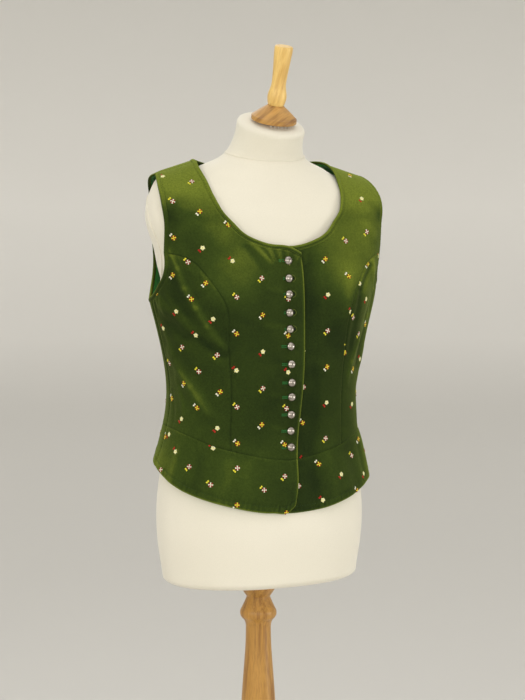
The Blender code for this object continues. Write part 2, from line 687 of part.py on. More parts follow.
def make_vest():
    seam, bound, free = SEAM_GAP / 2, BINDING_WIDTH + SEAM_GAP, 0.0
    places = panel_places(
        bottom=[(WAIST_RIGHT_CENTRE, seam)],
        right=[(OVERLAP, free), (NECK_RIGHT, bound)],
        top=[(on_right(SHOULDER)[::-1], seam)],
        left=[(PRINCESS_RIGHT, seam), (on_right(ARM_FRONT), bound)],
    )
    cloth("front_centre_right", "velvet", places)
    places = panel_places(
        bottom=[(WAIST_LEFT_CENTRE, seam)],
        right=[(PRINCESS, seam), (ARM_FRONT, bound)],
        top=[(SHOULDER, seam)],
        left=[(UNDERLAP, free), (NECK_LEFT, bound)],
    )
    cloth("front_centre_left", "velvet", places, layer=under_overlap)
    places = panel_places(
        bottom=[(WAIST_RIGHT_SIDE, seam)],
        right=[(PRINCESS_RIGHT, seam)],
        top=[(on_right(ARM_LOW)[::-1], bound)],
        left=[(on_right(SIDE_SEAM), seam)],
    )
    cloth("front_side_right", "velvet", places)
    places = panel_places(
        bottom=[(WAIST_SIDE, seam)],
        right=[(SIDE_SEAM, seam)],
        top=[(ARM_LOW, bound)],
        left=[(PRINCESS, seam)],
    )
    cloth("front_side_left", "velvet", places)
    places = panel_places(
        bottom=[(WAIST_BACK, seam)],
        right=[(on_right_back(SIDE_SEAM), seam), (on_right_back(ARM_BACK), bound)],
        top=[(SHOULDER[::-1], seam), (BACK_NECK, bound), (on_right_back(SHOULDER), seam)],
        left=[(SIDE_SEAM, seam), (ARM_BACK, bound)],
        shelf=BACK_SHELF,
    )
    cloth("back", "velvet", places)
    cloth("lining_back", "lining", places[ROW_LINING:], wall=LINING_WALL, depth=WALL + LINING_GAP)

    places = panel_places(
        bottom=[(hem_run(WAIST_RIGHT, on_right(PEPLUM_SIDE)[0], OVERLAP_PEPLUM[0]), free)],
        right=[(OVERLAP_PEPLUM, free)],
        top=[(WAIST_RIGHT, seam)],
        left=[(on_right(PEPLUM_SIDE), seam)],
    )
    cloth("peplum_front_right", "velvet", places)
    places = panel_places(
        bottom=[(hem_run(WAIST_LEFT, UNDERLAP_PEPLUM[0], PEPLUM_SIDE[0]), free)],
        right=[(PEPLUM_SIDE, seam)],
        top=[(WAIST_LEFT, seam)],
        left=[(UNDERLAP_PEPLUM, free)],
    )
    cloth("peplum_front_left", "velvet", places, layer=under_overlap)
    places = panel_places(
        bottom=[(hem_run(WAIST_BACK, PEPLUM_SIDE[0], on_right_back(PEPLUM_SIDE)[0]), free)],
        right=[(on_right_back(PEPLUM_SIDE), seam)],
        top=[(WAIST_BACK, seam)],
        left=[(PEPLUM_SIDE, seam)],
    )
    cloth("peplum_back", "velvet", places)

    neck = chain(NECK_RIGHT, BACK_NECK[::-1], NECK_LEFT[::-1])
    in_front = [flat] * (len(NECK_RIGHT) + len(BACK_NECK) - 2)
    under = [under_overlap] * len(NECK_LEFT)
    binding("binding_neck", neck, 1, in_front + under, False, (OVERLAP[-2], 0), (UNDERLAP[-2], 0))
    ring = chain(ARM_LOW, ARM_BACK, ARM_FRONT[::-1])[:-1]
    binding("binding_armhole_left", ring, -1, [flat] * len(ring), True)
    binding("binding_armhole_right", on_right(ring), 1, [flat] * len(ring), True)


def make_buttons():
    r, h = BUTTON_RADIUS, BUTTON_DOME
    dome = (
        (0, h), (0.45 * r, 0.93 * h), (0.8 * r, 0.68 * h), (r, 0.32 * h), (0.92 * r, 0.1 * h),
        (0.6 * r, 0), (0, 0),
    )
    for number, z in enumerate(BUTTON_HEIGHTS, 1):
        place = front_places([(0.0, z)], 1)[0]
        button = turned(f"button_{number:02}", "silver", dome, VEST.point(*place, out=BUTTON_LIFT), steps=14)
        button.rotation_euler = Vector(VEST.normal(*place)).to_track_quat("Z", "Y").to_euler()


def make_form():
    steps = 32
    sections = []
    for ring in TORSO_RINGS:
        sections.append([TORSO.point(360 * i / steps, ring[0]) for i in range(steps)])
    loft("torso", "jersey", sections)

    r, rim, cone = CAP_RADIUS, CAP_RIM, CAP_CONE
    top = CAP_LIFT + rim + cone
    turned(
        "neck_cap", "handle_wood",
        ((0, top), (12, top), (13, top - 0.8), (r - 2, CAP_LIFT + rim + 1), (r, CAP_LIFT + rim - 1),
         (r, CAP_LIFT + 1.2),
         (r - 1.2, CAP_LIFT), (CAP_SPIGOT, CAP_LIFT), (CAP_SPIGOT, 0), (0, 0)),
        CAP_FOOT, CAP_TILT, 28,
    )  # fmt: skip
    tilt = math.radians(CAP_TILT)
    foot = np.array(CAP_FOOT) + (top + SEAM_GAP) * np.array([0, -math.sin(tilt), math.cos(tilt)])
    h = HANDLE_LENGTH
    turned(
        "handle", "handle_wood",
        ((0, h), (12.3, h), (13.4, h - 2), (13.6, h - 6.5), (13.2, h - 13.5), (12.3, h - 25), (11.4, h - 37),
         (10.8, h - 48), (10.8, h - 57), (12.2, h - 65), (13.7, h - 71), (14.1, h - 76.5),
         (13.4, h - 82), (12, 1),
         (11.2, 0), (0, 0)),
        foot, HANDLE_TILT, 24,
    )  # fmt: skip
    turned("column", "stand_wood", COLUMN_PROFILE, (0, 0, 0), 0, 28)
    r, h = BASE_RADIUS, BASE_HEIGHT
    turned(
        "base", "stand_wood",
        ((0, h), (46, h), (52, h - 3), (120, h - 6), (r - 14, h - 9), (r - 4, h - 14), (r, h - 21),
         (r, 4), (r - 3, 0), (0, 0)),
        (0, 0, 0), 0, 40,
    )  # fmt: skip


make_vest()
make_buttons()
make_form()
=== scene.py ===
# %% [markdown]
# # An embroidered velvet vest on a dress form
#
# The object is a sleeveless velvet vest, buttoned down the front, worn on a limbless dress form with a
# turned wooden stand. The solids of the construction are loaded first and never move. Each piece below
# is a finer version of one of them, made in the same place from the same measurements, so that seams
# meet and the cloth keeps its distance from the form.

import math

import bmesh
import bpy
import numpy as np
from mathutils import Matrix, Vector
from mathutils.bvhtree import BVHTree


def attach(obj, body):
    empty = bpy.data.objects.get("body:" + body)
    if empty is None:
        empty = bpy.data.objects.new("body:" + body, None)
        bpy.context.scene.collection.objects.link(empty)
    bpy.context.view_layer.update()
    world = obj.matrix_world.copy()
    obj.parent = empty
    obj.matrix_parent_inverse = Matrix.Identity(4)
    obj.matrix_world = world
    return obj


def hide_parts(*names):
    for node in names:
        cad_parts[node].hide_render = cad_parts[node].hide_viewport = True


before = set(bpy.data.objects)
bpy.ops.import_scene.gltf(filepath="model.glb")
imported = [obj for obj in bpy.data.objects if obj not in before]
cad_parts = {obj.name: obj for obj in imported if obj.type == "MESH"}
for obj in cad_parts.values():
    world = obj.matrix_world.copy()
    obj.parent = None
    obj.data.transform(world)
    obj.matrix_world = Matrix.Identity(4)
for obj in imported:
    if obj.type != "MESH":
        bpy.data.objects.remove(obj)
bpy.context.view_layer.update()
MM = 0.001

# %% [markdown]
# ## Camera and light
#
# The camera stands a little to the wearer's right and looks slightly down, with a long lens, so that
# the form's upright lines stay upright. Large area lights stand in for a studio's soft boxes.

# %% Set the camera
VIEW_TURN = math.radians(25)
VIEW_DISTANCE, VIEW_HEIGHT = 2600 * MM, 1320 * MM
AIM_HEIGHT, AIM_TO_RIGHT = 1148 * MM, 6.4 * MM
LENS, SENSOR = 88.2, 36

scene = bpy.context.scene
to_camera = Vector((-math.sin(VIEW_TURN), -math.cos(VIEW_TURN), 0))
to_right = Vector((math.cos(VIEW_TURN), -math.sin(VIEW_TURN), 0))
aim = to_right * AIM_TO_RIGHT + Vector((0, 0, AIM_HEIGHT))


def placed_facing(name, data, place, target):
    """Object for a camera or a light, turned towards the target."""
    made = bpy.data.objects.new(name, data)
    made.location = place
    made.rotation_euler = (Vector(target) - Vector(place)).to_track_quat("-Z", "Y").to_euler()
    scene.collection.objects.link(made)
    return made


spot = aim + to_camera * VIEW_DISTANCE + Vector((0, 0, VIEW_HEIGHT - AIM_HEIGHT))
camera = placed_facing("camera", bpy.data.cameras.new("camera"), spot, aim)
camera.data.sensor_fit = "VERTICAL"
camera.data.sensor_height = SENSOR
camera.data.lens = LENS
scene.camera = camera
scene.view_settings.view_transform = "Standard"
print("camera at", [round(x, 3) for x in camera.location])

# %% Place the lights
WARM, PLAIN = (1.0, 0.975, 0.94), (1.0, 1.0, 1.0)
SOFT_BOXES = {  # place, height of the target on the axis, width, height, power in watts, colour
    "key_box": ((-0.9, -2.6, 1.5), 1.35, 1.8, 1.1, 17, WARM),
    "left_box": ((-2.6, -1.3, 1.7), 1.32, 0.7, 1.1, 19, WARM),
    "right_box": ((2.3, -2.0, 1.0), 1.3, 0.7, 1.1, 20, PLAIN),
    "back_box": ((0.4, 2.4, 2.8), 1.2, 1.8, 1.2, 9, PLAIN),
}
for name, (place, target_height, width, height, power, colour) in SOFT_BOXES.items():
    light = bpy.data.lights.new(name, "AREA")
    light.shape = "RECTANGLE"
    light.size, light.size_y, light.energy, light.color = width, height, power, colour
    placed_facing(name, light, place, (0, 0, target_height))
world = bpy.data.worlds.new("studio")
world.use_nodes = True
world.node_tree.nodes["Background"].inputs["Color"].default_value = (0.80, 0.79, 0.77, 1)
world.node_tree.nodes["Background"].inputs["Strength"].default_value = 1.5
scene.world = world
print("soft boxes:", list(SOFT_BOXES))

# %% [markdown]
# ## Finishes
#
# Cotton velvet is dark where the eye looks down into the pile and light where the pile is seen from
# the side, so its shader is a rough dark green with a strong sheen of yellow green. The pile is never
# brushed quite evenly, so slow noise lightens and darkens it. Its green is also painted with light and
# shade from a value on each vert: lighter where the cloth faces up, on ridges and along free edges,
# darker in troughs, at seams and under the overlap. Jersey, lining, thread and wood each get noise at
# the scale of their own yarn or grain. The silver gets patches that are partly tarnish and partly
# painted reflection, and fine scratches as bumps. All patterns read Object coordinates, since every
# finished piece has its place in its mesh.


# %% Short helpers for shader nodes
def new_finish(name, roughness, metallic=0.0, **settings):
    """Material with a Principled shader. Returns (material, tree, shader, object coordinates)."""
    made = bpy.data.materials.new(name)
    made.use_nodes = True
    tree = made.node_tree
    shader = tree.nodes["Principled BSDF"]
    shader.inputs["Roughness"].default_value = roughness
    shader.inputs["Metallic"].default_value = metallic
    for socket, value in settings.items():
        shader.inputs[socket.replace("_", " ")].default_value = value
    return made, tree, shader, node(tree, "TexCoord", "Object")


def node(tree, kind, output, **inputs):
    """Add a shader node with its inputs linked or set, and return one of its outputs."""
    made = tree.nodes.new("ShaderNode" + kind)
    for name, value in inputs.items():
        socket = made.inputs[name.replace("_", " ")]
        if isinstance(value, bpy.types.NodeSocket):
            tree.links.new(value, socket)
        else:
            socket.default_value = value
    return made.outputs[output]


def noise(tree, where, scale, detail=3.0, roughness=0.55, warp=0.0):
    """Noise value from 0 to 1."""
    grain = {"Scale": scale, "Detail": detail, "Roughness": roughness, "Distortion": warp}
    return node(tree, "TexNoise", "Fac", Vector=where, **grain)


def colours_over(tree, value, *stops):
    """Colour ramp. Each stop is (position, colour), or (position, grey)."""
    colour = node(tree, "ValToRGB", "Color", Fac=value)
    points = colour.node.color_ramp.elements
    while len(points) < len(stops):
        points.new(0.5)
    for point, (position, shade) in zip(points, stops):
        point.position = position
        point.color = (*shade, 1) if isinstance(shade, tuple) else (shade, shade, shade, 1)
    return colour


def mixed(tree, share, first, second, blend="MIX"):
    """Mix of two colours by a value or a fixed share."""
    result = node(tree, "Mix", "Result")
    made = result.node
    made.data_type, made.blend_type = "RGBA", blend
    for socket, source in (("Factor", share), ("A", first), ("B", second)):
        if isinstance(source, bpy.types.NodeSocket):
            tree.links.new(source, made.inputs[socket])
        else:
            made.inputs[socket].default_value = (*source, 1) if isinstance(source, tuple) else source
    return made.outputs["Result"]


def darkened(tree, share, ground, value, *stops):
    """The ground colour multiplied, by a share, with a colour ramp over a value."""
    return mixed(tree, share, ground, colours_over(tree, value, *stops), "MULTIPLY")


def raised(tree, shader, height, distance, strength):
    """Bump from a height value, over any bump that the shader already has."""
    bump = node(tree, "Bump", "Normal", Height=height, Distance=distance, Strength=strength)
    if shader.inputs["Normal"].is_linked:
        tree.links.new(shader.inputs["Normal"].links[0].from_socket, bump.node.inputs["Normal"])
    tree.links.new(bump, shader.inputs["Normal"])


# %% Velvet
# Velvet greens: painted shade, middle and painted light.
VELVET_PAINTED_SHADE, VELVET_MID, VELVET_PAINTED_LIGHT = (0.016, 0.029, 0.006), (0.045, 0.073, 0.010), (0.170, 0.215, 0.024)
NAP_UNEVENNESS = 0.30


def make_velvet(name, highlight_share):
    """Green cotton velvet. The second argument mixes in a light green, a painted highlight for edges.

    The mesh's own value of painted light and shade picks the green, from 0 to 1: lighter where the cloth
    faces up, on ridges and at free edges.
    """
    made, tree, shader, where = new_finish(name, 0.85, Sheen_Weight=0.35, Sheen_Roughness=0.38)
    shader.inputs["Sheen Tint"].default_value = (0.52, 0.62, 0.14, 1)
    shader.inputs["Specular IOR Level"].default_value = 0.08
    # Painted light and shade from the mesh, with slow noise for the uneven pile, picks the green.
    painted_light = node(tree, "Attribute", "Fac")
    painted_light.node.attribute_name = "painted_light"
    painted_light_and_uneven_pile = tree.nodes.new("ShaderNodeMath")
    painted_light_and_uneven_pile.operation = "MULTIPLY_ADD"
    painted_light_and_uneven_pile.inputs[1].default_value = NAP_UNEVENNESS
    tree.links.new(noise(tree, where, 22.0, detail=5.0, warp=0.8), painted_light_and_uneven_pile.inputs[0])
    tree.links.new(painted_light, painted_light_and_uneven_pile.inputs[2])
    ground = colours_over(
        tree, painted_light_and_uneven_pile.outputs[0], (0.10, VELVET_PAINTED_SHADE), (0.50, VELVET_MID), (1.0, VELVET_PAINTED_LIGHT)
    )
    flecks = noise(tree, where, 380.0, detail=4.0, roughness=0.7)
    ground = darkened(tree, 0.42, ground, flecks, (0.32, (0.35, 0.38, 0.35)), (0.62, (1.25, 1.22, 1.2)))
    pile = noise(tree, where, 1300.0, detail=2.0)
    ground = darkened(tree, 0.30, ground, pile, (0.35, 0.3), (0.7, 1.0))
    # A light green mixed in by the second argument: painted highlight.
    tree.links.new(mixed(tree, highlight_share, ground, (0.20, 0.25, 0.035)), shader.inputs["Base Color"])
    raised(tree, shader, pile, 0.0004, 0.6)
    raised(tree, shader, noise(tree, where, 260.0), 0.0006, 0.25)
    return made


# The second velvet is a lighter copy, a painted highlight for the rims of free edges.
velvet, velvet_painted_highlight = make_velvet("velvet_green", 0.0), make_velvet("velvet_painted_highlight", 0.22)


# %% Lining, jersey and thread
def make_woven(name, dark, light, fine, coarse, depth, sheen):
    """Plain cloth with a fine woven or knitted grain and slow unevenness."""
    made, tree, shader, where = new_finish(name, 0.8, Sheen_Weight=sheen, Specular_IOR_Level=0.25)
    yarn = noise(tree, node(tree, "Mapping", "Vector", Vector=where, Scale=(1, 1, 1.6)), fine, detail=2.0)
    ground = mixed(tree, noise(tree, where, coarse, detail=2.0), dark, light)
    tree.links.new(darkened(tree, 0.18, ground, yarn, (0.3, 0.6), (0.7, 1.0)), shader.inputs["Base Color"])
    raised(tree, shader, yarn, depth, 0.5)
    return made


lining_cloth = make_woven("lining_green", (0.020, 0.200, 0.026), (0.030, 0.260, 0.038), 900, 6, 0.0002, 0.15)
jersey_cloth = make_woven("jersey_cream", (0.80, 0.755, 0.62), (0.88, 0.84, 0.72), 1100, 5, 0.00025, 0.3)


def make_thread(name, colour, gloss):
    """Twisted embroidery or sewing thread with a soft lustre."""
    made, tree, shader, where = new_finish(name, gloss, Sheen_Weight=0.04, Specular_IOR_Level=0.15)
    twist = noise(tree, where, 2600.0, detail=1.0)
    shade = tuple(0.78 * part for part in colour)
    tree.links.new(colours_over(tree, twist, (0.35, shade), (0.65, colour)), shader.inputs["Base Color"])
    raised(tree, shader, twist, 0.00025, 0.5)
    return made


THREAD_COLOURS = {  # colour and roughness
    "red": ((0.50, 0.008, 0.008), 0.45),
    "dark_red": ((0.27, 0.007, 0.005), 0.45),
    "yellow": ((0.94, 0.84, 0.060), 0.45),
    "cream": ((0.95, 0.93, 0.74), 0.45),
    "hole": ((0.026, 0.150, 0.030), 0.45),
    "sewing": ((0.020, 0.048, 0.010), 0.6),
    "white": ((0.60, 0.56, 0.48), 0.45),
    "lemon": ((0.86, 0.82, 0.30), 0.45),
    "olive": ((0.115, 0.150, 0.020), 0.7),
    # shade is no thread's colour: a near-black strand paints the shadow in a gaping buttonhole.
    "shade": ((0.004, 0.006, 0.003), 0.9),
}
THREADS = {name: make_thread(f"thread_{name}", *look) for name, look in THREAD_COLOURS.items()}
THREAD_ORDER = list(THREADS)
print("threads:", THREAD_ORDER)


# %% Wood and silver
def make_wood(name, pale, dark, pore, axis, spread, rings):
    """Turned wood: growth bands and pores, drawn out by spread across and along an axis."""
    made, tree, shader, where = new_finish(name, 0.42, Coat_Weight=0.12, Coat_Roughness=0.35)
    turn = Vector(axis).rotation_difference(Vector((0, 0, 1))).to_euler()
    upright = node(tree, "Mapping", "Vector", Vector=where, Rotation=turn)
    along_grain = node(tree, "Mapping", "Vector", Vector=upright, Scale=spread)
    bands = noise(tree, along_grain, rings, detail=4.0, roughness=0.6, warp=0.3)
    fine = noise(tree, along_grain, 5 * rings)
    bright = tuple(min(1, 1.15 * part) for part in pale)
    ground = colours_over(tree, bands, (0.34, dark), (0.50, pale), (0.70, bright))
    tree.links.new(darkened(tree, 0.35, ground, fine, (0.32, pore), (0.56, 1.0)), shader.inputs["Base Color"])
    raised(tree, shader, fine, 0.0003, 0.35)
    return made


LENGTHWISE, LAYERED = (1, 1, 0.07), (0.07, 0.07, 1)
STAND_TONES = (0.50, 0.26, 0.052), (0.34, 0.155, 0.028), (0.42, 0.28, 0.17)
CAP_TONES = (0.53, 0.285, 0.065), (0.29, 0.13, 0.024), (0.50, 0.36, 0.24)
HANDLE_TONES = (0.86, 0.59, 0.190), (0.70, 0.42, 0.105), (0.66, 0.52, 0.36)
cap_wood = make_wood("wood_cap", *CAP_TONES, (-0.583, 0.272, 0.766), LAYERED, 190)
handle_wood = make_wood("wood_handle", *HANDLE_TONES, (0.1, -0.35, 0.93), LENGTHWISE, 90)
board_wood = make_wood("wood_board", *STAND_TONES, (1, 0.1, 0.02), LENGTHWISE, 70)
stand_wood = make_wood("wood_stand", *STAND_TONES, (0.02, 0, 1), LENGTHWISE, 120)

silver, tree, shader, where = new_finish("silver_tarnish_painted_reflection", 0.27, metallic=1.0)
# Patches darker and lighter: partly tarnish, partly a painted reflection of darker surroundings.
tarnish_and_painted_reflection = noise(tree, where, 170.0, detail=1.0)
ground = colours_over(tree, tarnish_and_painted_reflection, (0.36, (0.30, 0.265, 0.23)), (0.62, (0.50, 0.455, 0.40)))
tree.links.new(ground, shader.inputs["Base Color"])
raised(tree, shader, noise(tree, where, 420.0, detail=2.0), 0.0001, 0.12)
print("finishes:", len(bpy.data.materials))


# %% [markdown]
# ## Floor and wall
#
# A round floor that curves up into a plain pale wall gives an even ground from every side. Both are
# one profile spun round the axis, with painted light and shade: palest at the height of the form's
# chest, darker towards the floor and the top.


# %% Spin a profile
def spun(profile, steps):
    """bmesh from a profile of (radius, height) in metres, turned once round the axis."""
    mesh = bmesh.new()
    line = [mesh.verts.new((radius, 0, height)) for radius, height in profile]
    edges = [mesh.edges.new(pair) for pair in zip(line, line[1:])]
    bmesh.ops.spin(
        mesh, geom=line + edges, cent=(0, 0, 0), axis=(0, 0, 1), angle=math.tau, steps=steps, use_merge=True
    )
    bmesh.ops.remove_doubles(mesh, verts=mesh.verts, dist=1e-6)
    bmesh.ops.recalc_face_normals(mesh, faces=mesh.faces)
    return mesh


def linked_object(name, mesh, materials):
    """Smooth-shaded object at the origin from a bmesh."""
    data = bpy.data.meshes.new(name)
    mesh.to_mesh(data)
    mesh.free()
    data.shade_smooth()
    for material in materials:
        data.materials.append(material)
    made = bpy.data.objects.new(name, data)
    scene.collection.objects.link(made)
    return made


# %% Make the floor and wall in one sweep
FLOOR_RADIUS, WALL_RADIUS, WALL_HEIGHT, SWEEP_STEPS = 10.0, 16.0, 17.0, 16
GREYS_TOP = 4.0
# Greys by height are painted light and shade: palest at chest height, darker at the floor and the top.
PAINTED_STUDIO_GREYS = (
    (0.0, (0.62, 0.606, 0.572)), (0.45, (0.74, 0.723, 0.685)), (1.6, (0.82, 0.802, 0.760)),
    (GREYS_TOP, (0.71, 0.695, 0.655)),
)  # fmt: skip
studio_grey, tree, shader, where = new_finish("studio_grey", 0.9)
height = node(tree, "SeparateXYZ", "Z", Vector=where)
share = node(tree, "MapRange", "Result", Value=height, From_Max=GREYS_TOP)
greys = colours_over(tree, share, *((level / GREYS_TOP, colour) for level, colour in PAINTED_STUDIO_GREYS))
tree.links.new(greys, shader.inputs["Base Color"])

bend = WALL_RADIUS - FLOOR_RADIUS
quarter = [math.radians(90) * step / SWEEP_STEPS for step in range(1, SWEEP_STEPS + 1)]
curve = [(FLOOR_RADIUS + bend * math.sin(turn), bend * (1 - math.cos(turn))) for turn in quarter]
sweep = spun([(0, 0), (FLOOR_RADIUS, 0), *curve, (WALL_RADIUS, WALL_HEIGHT)], 64)
bmesh.ops.reverse_faces(sweep, faces=sweep.faces)
linked_object("studio_sweep", sweep, [studio_grey])
print("studio sweep radius", WALL_RADIUS, "m")


# %% [markdown]
# ## The measurements
#
# The vest is described as a body surface: rings of the body from hem to neck, each with its half
# width, its front and back and its squareness. A place on the cloth is then an angle from centre
# front and a level, and every seam is a line of such places. These are the same numbers that the
# solids were made from, so what is made finer here still meets what carries it.

# %% Cloth, buttons and stand, in millimetres
WALL = 1.8  # velvet with its interlining
LINING_WALL = 1.0
LINING_GAP = 0.6
SEAM_GAP = 0.3
OVERLAP_EDGE = 23.0  # how far the right front runs past the buttons
UNDERLAP_EDGE = -16.0  # how far the left front runs under it
LAYER_DROP = 3.6  # how deep the left front lies under the right front
LAYER_RAMP = 22.0  # width over which it sinks
BINDING_WIDTH = 7.0
BUTTON_HEIGHTS = (1285, 1259, 1236, 1209, 1185, 1160, 1134, 1107, 1086, 1060, 1036, 1012)

CAP_FOOT = (0, -53, 1487.3)  # where the cap's spigot meets the top of the neck
CAP_TILT = 18.0
CAP_RADIUS = 33.8
CAP_RIM = 7.0
CAP_CONE = 17.0
CAP_LIFT = 3.0  # shadow gap between the neck and the cap's rim
CAP_SPIGOT = 5.0
HANDLE_TILT = 18.6
HANDLE_LENGTH = 88.0
BASE_RADIUS = 205.0
BASE_HEIGHT = 32.0
BUTTON_LIFT = 0.5
# Turned profile of the column, (radius, height) from top to bottom.
COLUMN_PROFILE = (
    (0, 802.7), (27, 802.7), (27, 784), (24.4, 780), (19, 772), (18.6, 768), (23, 758), (27, 750), (28, 745),
    (26.5, 739), (22, 734), (19.6, 727), (19.2, 718), (20, 693), (22.5, 658), (25.5, 616),
    (27.5, 575), (28, 540),
    (26.5, 480), (22, 390), (18.5, 300), (17.5, 250), (22, 243), (25, 235), (22, 227), (18.5, 218), (20, 170),
    (25, 110), (30, 70), (36, 52), (36, BASE_HEIGHT + SEAM_GAP), (0, BASE_HEIGHT + SEAM_GAP),
)  # fmt: skip


# %% Rings of the vest and of the form
# The garment surface, ring by ring from hem to neck: its level, the X of its middle, its half width,
# the Y of the side line, of centre front and of centre back, the squareness (superellipse exponent) of
# its front and back, and the heights at centre front, at the side and at centre back where a ring
# isn't level.
VEST_RINGS = (
    (900, -4, 176, -12, -132, 109, 2.4, 2.1), (950, -4, 171, -12, -125, 106, 2.4, 2.1),
    (985, -3.5, 165, -12, -118, 101, 2.4, 2.1), (1020, -3, 157, -12, -112, 95, 2.5, 2.1),
    (1060, -2.5, 149, -12, -113, 88, 2.6, 2.1), (1100, -2, 148, -12, -115, 84, 2.6, 2.1),
    (1147, -1, 156, -12, -113, 87, 2.6, 2.0), (1195, 0, 168, -12, -108, 92, 2.6, 2.0),
    (1235, 0, 178, -12, -106, 96, 2.7, 2.0), (1270, 0, 181, -12, -104, 98, 3.0, 2.0),
    (1305, 0, 184, -12, -100, 98, 3.3, 2.0, 1305, 1306, 1306),
    (1350, 0, 186, -12, -90, 98, 4.0, 1.95, 1338, 1352, 1352),
    (1400, 0, 177, -12, -82, 86, 3.8, 1.75, 1362, 1407, 1390),
    (1425, 0, 148, -12, -76, 71, 2.6, 2.0, 1378, 1419, 1409),
    (1452, 0, 107, -12, -72, 54, 2.3, 2.0, 1392, 1431, 1430),
    (1480, 0, 70, -12, -68, 40, 2.2, 2.0, 1406, 1444, 1446),
)  # fmt: skip

# The dress form, from the lower edge of its body to the top of its neck, which leans forward.
TORSO_RINGS = (
    (803, -3, 143, -12, -107, 84, 2.2, 2.1), (806, -3, 149, -12, -113, 89, 2.2, 2.1),
    (813, -3, 153, -12, -117, 93, 2.2, 2.1), (840, -3, 157, -12, -120, 97, 2.2, 2.1),
    (890, -3, 162, -12, -124, 101, 2.2, 2.1), (950, -3, 159, -12, -118, 98, 2.2, 2.1),
    (1010, -3, 146, -12, -103, 86, 2.2, 2.1), (1075, -2, 130, -12, -95, 74, 2.2, 2.1),
    (1130, -1, 137, -12, -97, 76, 2.3, 2.0), (1180, 0, 149, -12, -99, 83, 2.4, 2.0),
    (1230, 0, 163, -12, -98, 86, 2.5, 2.0), (1270, 0, 166, -12, -96, 88, 2.6, 2.0),
    (1305, 0, 171, -12, -92, 88, 2.8, 2.0, 1305, 1306, 1306),
    (1335, 0, 182, -12, -86, 87, 2.8, 2.0, 1329, 1337, 1337),
    (1365, 0, 182, -12, -82, 83, 2.8, 1.95, 1348, 1370, 1366),
    (1390, 0, 172, -12, -78, 77, 2.7, 1.8, 1360, 1398, 1383),
    (1405, 0, 162, -12, -76, 72, 2.6, 1.8, 1367, 1407, 1392),
    (1430, 0, 122, -12, -73, 60, 2.3, 2.0, 1387, 1413.5, 1407),
    (1450, 0, 97, -15, -71, 50, 2.2, 2.0, 1404, 1425, 1419),
    (1470, 0, 74, -19, -69, 34, 2.1, 2.0, 1420, 1434, 1437),
    (1485, 0, 62, -24, -68, 20, 2.0, 2.0, 1431, 1443, 1451),
    (1505, 0, 54, -33, -77, 9, 2.0, 2.0, 1443, 1459, 1474),
    (1530, 0, 51, -43, -91, 4, 2.0, 2.0, 1459, 1480, 1500),
    (1537, 0, 49, -46, -94, 1, 2.0, 2.0, 1465, 1486, 1507),
    (1541, 0, 44, -48, -91, -5, 2.0, 2.0, 1470, 1488.5, 1507),
)  # fmt: skip
LEVEL_RING = 8  # numbers of a ring that keeps one height all round
NECK_BASE_LEVEL = 1485.0  # where the neck's seam runs

print("rings:", len(VEST_RINGS), "of the vest,", len(TORSO_RINGS), "of the form")

# %% Busts, folds, seams and edges
# Fullness of each bust: the peak's place and reach on the surface.
BUST_ANGLE = 33.0
BUST_ANGLE_REACH = 17.0
BUST_LEVEL = 1222.0
BUST_REACH_UP = 42.0
BUST_REACH_DOWN = 52.0
VEST_BUST = 15.0
TORSO_BUST = 13.0

# Largest folds of the cloth: a soft ridge or trough from one place of the surface to another, as
# (angle, level) of each, then its half width and its height.
FOLDS = (
    (-74, 1222, -40, 1160, 11, 3.0), (-70, 1200, -38, 1150, 12, -3.0), (-80, 1150, -56, 1080, 12, 2.5),
    (58, 1255, 52, 1130, 15, -5.0), (72, 1262, 64, 1110, 14, 3.0), (68, 1110, 64, 1040, 16, -5.0),
    (58, 1010, 64, 925, 14, 3.5), (40, 1000, 44, 925, 16, -2.5), (-30, 985, -34, 915, 18, 2.0),
    (-120, 1010, -124, 960, 18, 3.0), (130, 1010, 134, 960, 18, 3.0), (-93, 990, -93, 925, 40, 4.5),
    (84, 1000, 84, 925, 34, -3.0), (-94, 1225, -92, 1150, 18, 2.0), (86, 1085, 86, 1050, 22, -4.5),
    (118, 1215, 140, 1130, 15, -3.0), (-118, 1215, -140, 1130, 15, -3.0), (176, 1110, 184, 1050, 18, -2.0),
)  # fmt: skip

# Edges and seams of the cut, right half unless a sign says otherwise.
NECKLINE_X_Z = (
    (0, 1307), (22, 1309), (42, 1314), (60, 1322), (77, 1336), (91, 1353), (100.5, 1371), (105.5, 1388),
    (107.5, 1404),
)  # fmt: skip
NECK_CORNER_X_Z = ((22.5, 1297), (17, 1302.5), (9, 1305.5))  # rounded top corner of the overlap
NECK_POINT_LEVEL = 1453.0  # where the neckline crosses the shoulder seam
BACK_NECK_DROP = 8.0  # how far the neckline sinks from there to centre back, in levels
UNDERARM_LEVEL = 1234.0  # top of the side seam
TIP_LEVEL = 1406.0  # where the armhole crosses the shoulder seam
ARMHOLE_FRONT_Y_Z = ((-46, 1387), (-57, 1370), (-61, 1350), (-61, 1330), (-59, 1311), (-57, 1297))
ARMHOLE_LOW_Y_Z = ((-57, 1297), (-56, 1280), (-49, 1262), (-34, 1247), (-15, 1235), (-12, 1234))
ARMHOLE_BACK_Y_Z = (
    (-12, 1234), (8, 1229), (24, 1233), (38, 1248), (47, 1270), (50, 1306), (47, 1342), (36, 1375),
    (20, 1395),
)  # fmt: skip
PRINCESS_X_Z = (
    (91, 1008), (91, 1040), (90, 1070), (90.5, 1100), (92.5, 1130), (95, 1165), (97.5, 1200), (101, 1217),
    (112, 1240), (127.5, 1265), (150, 1288),
)  # fmt: skip
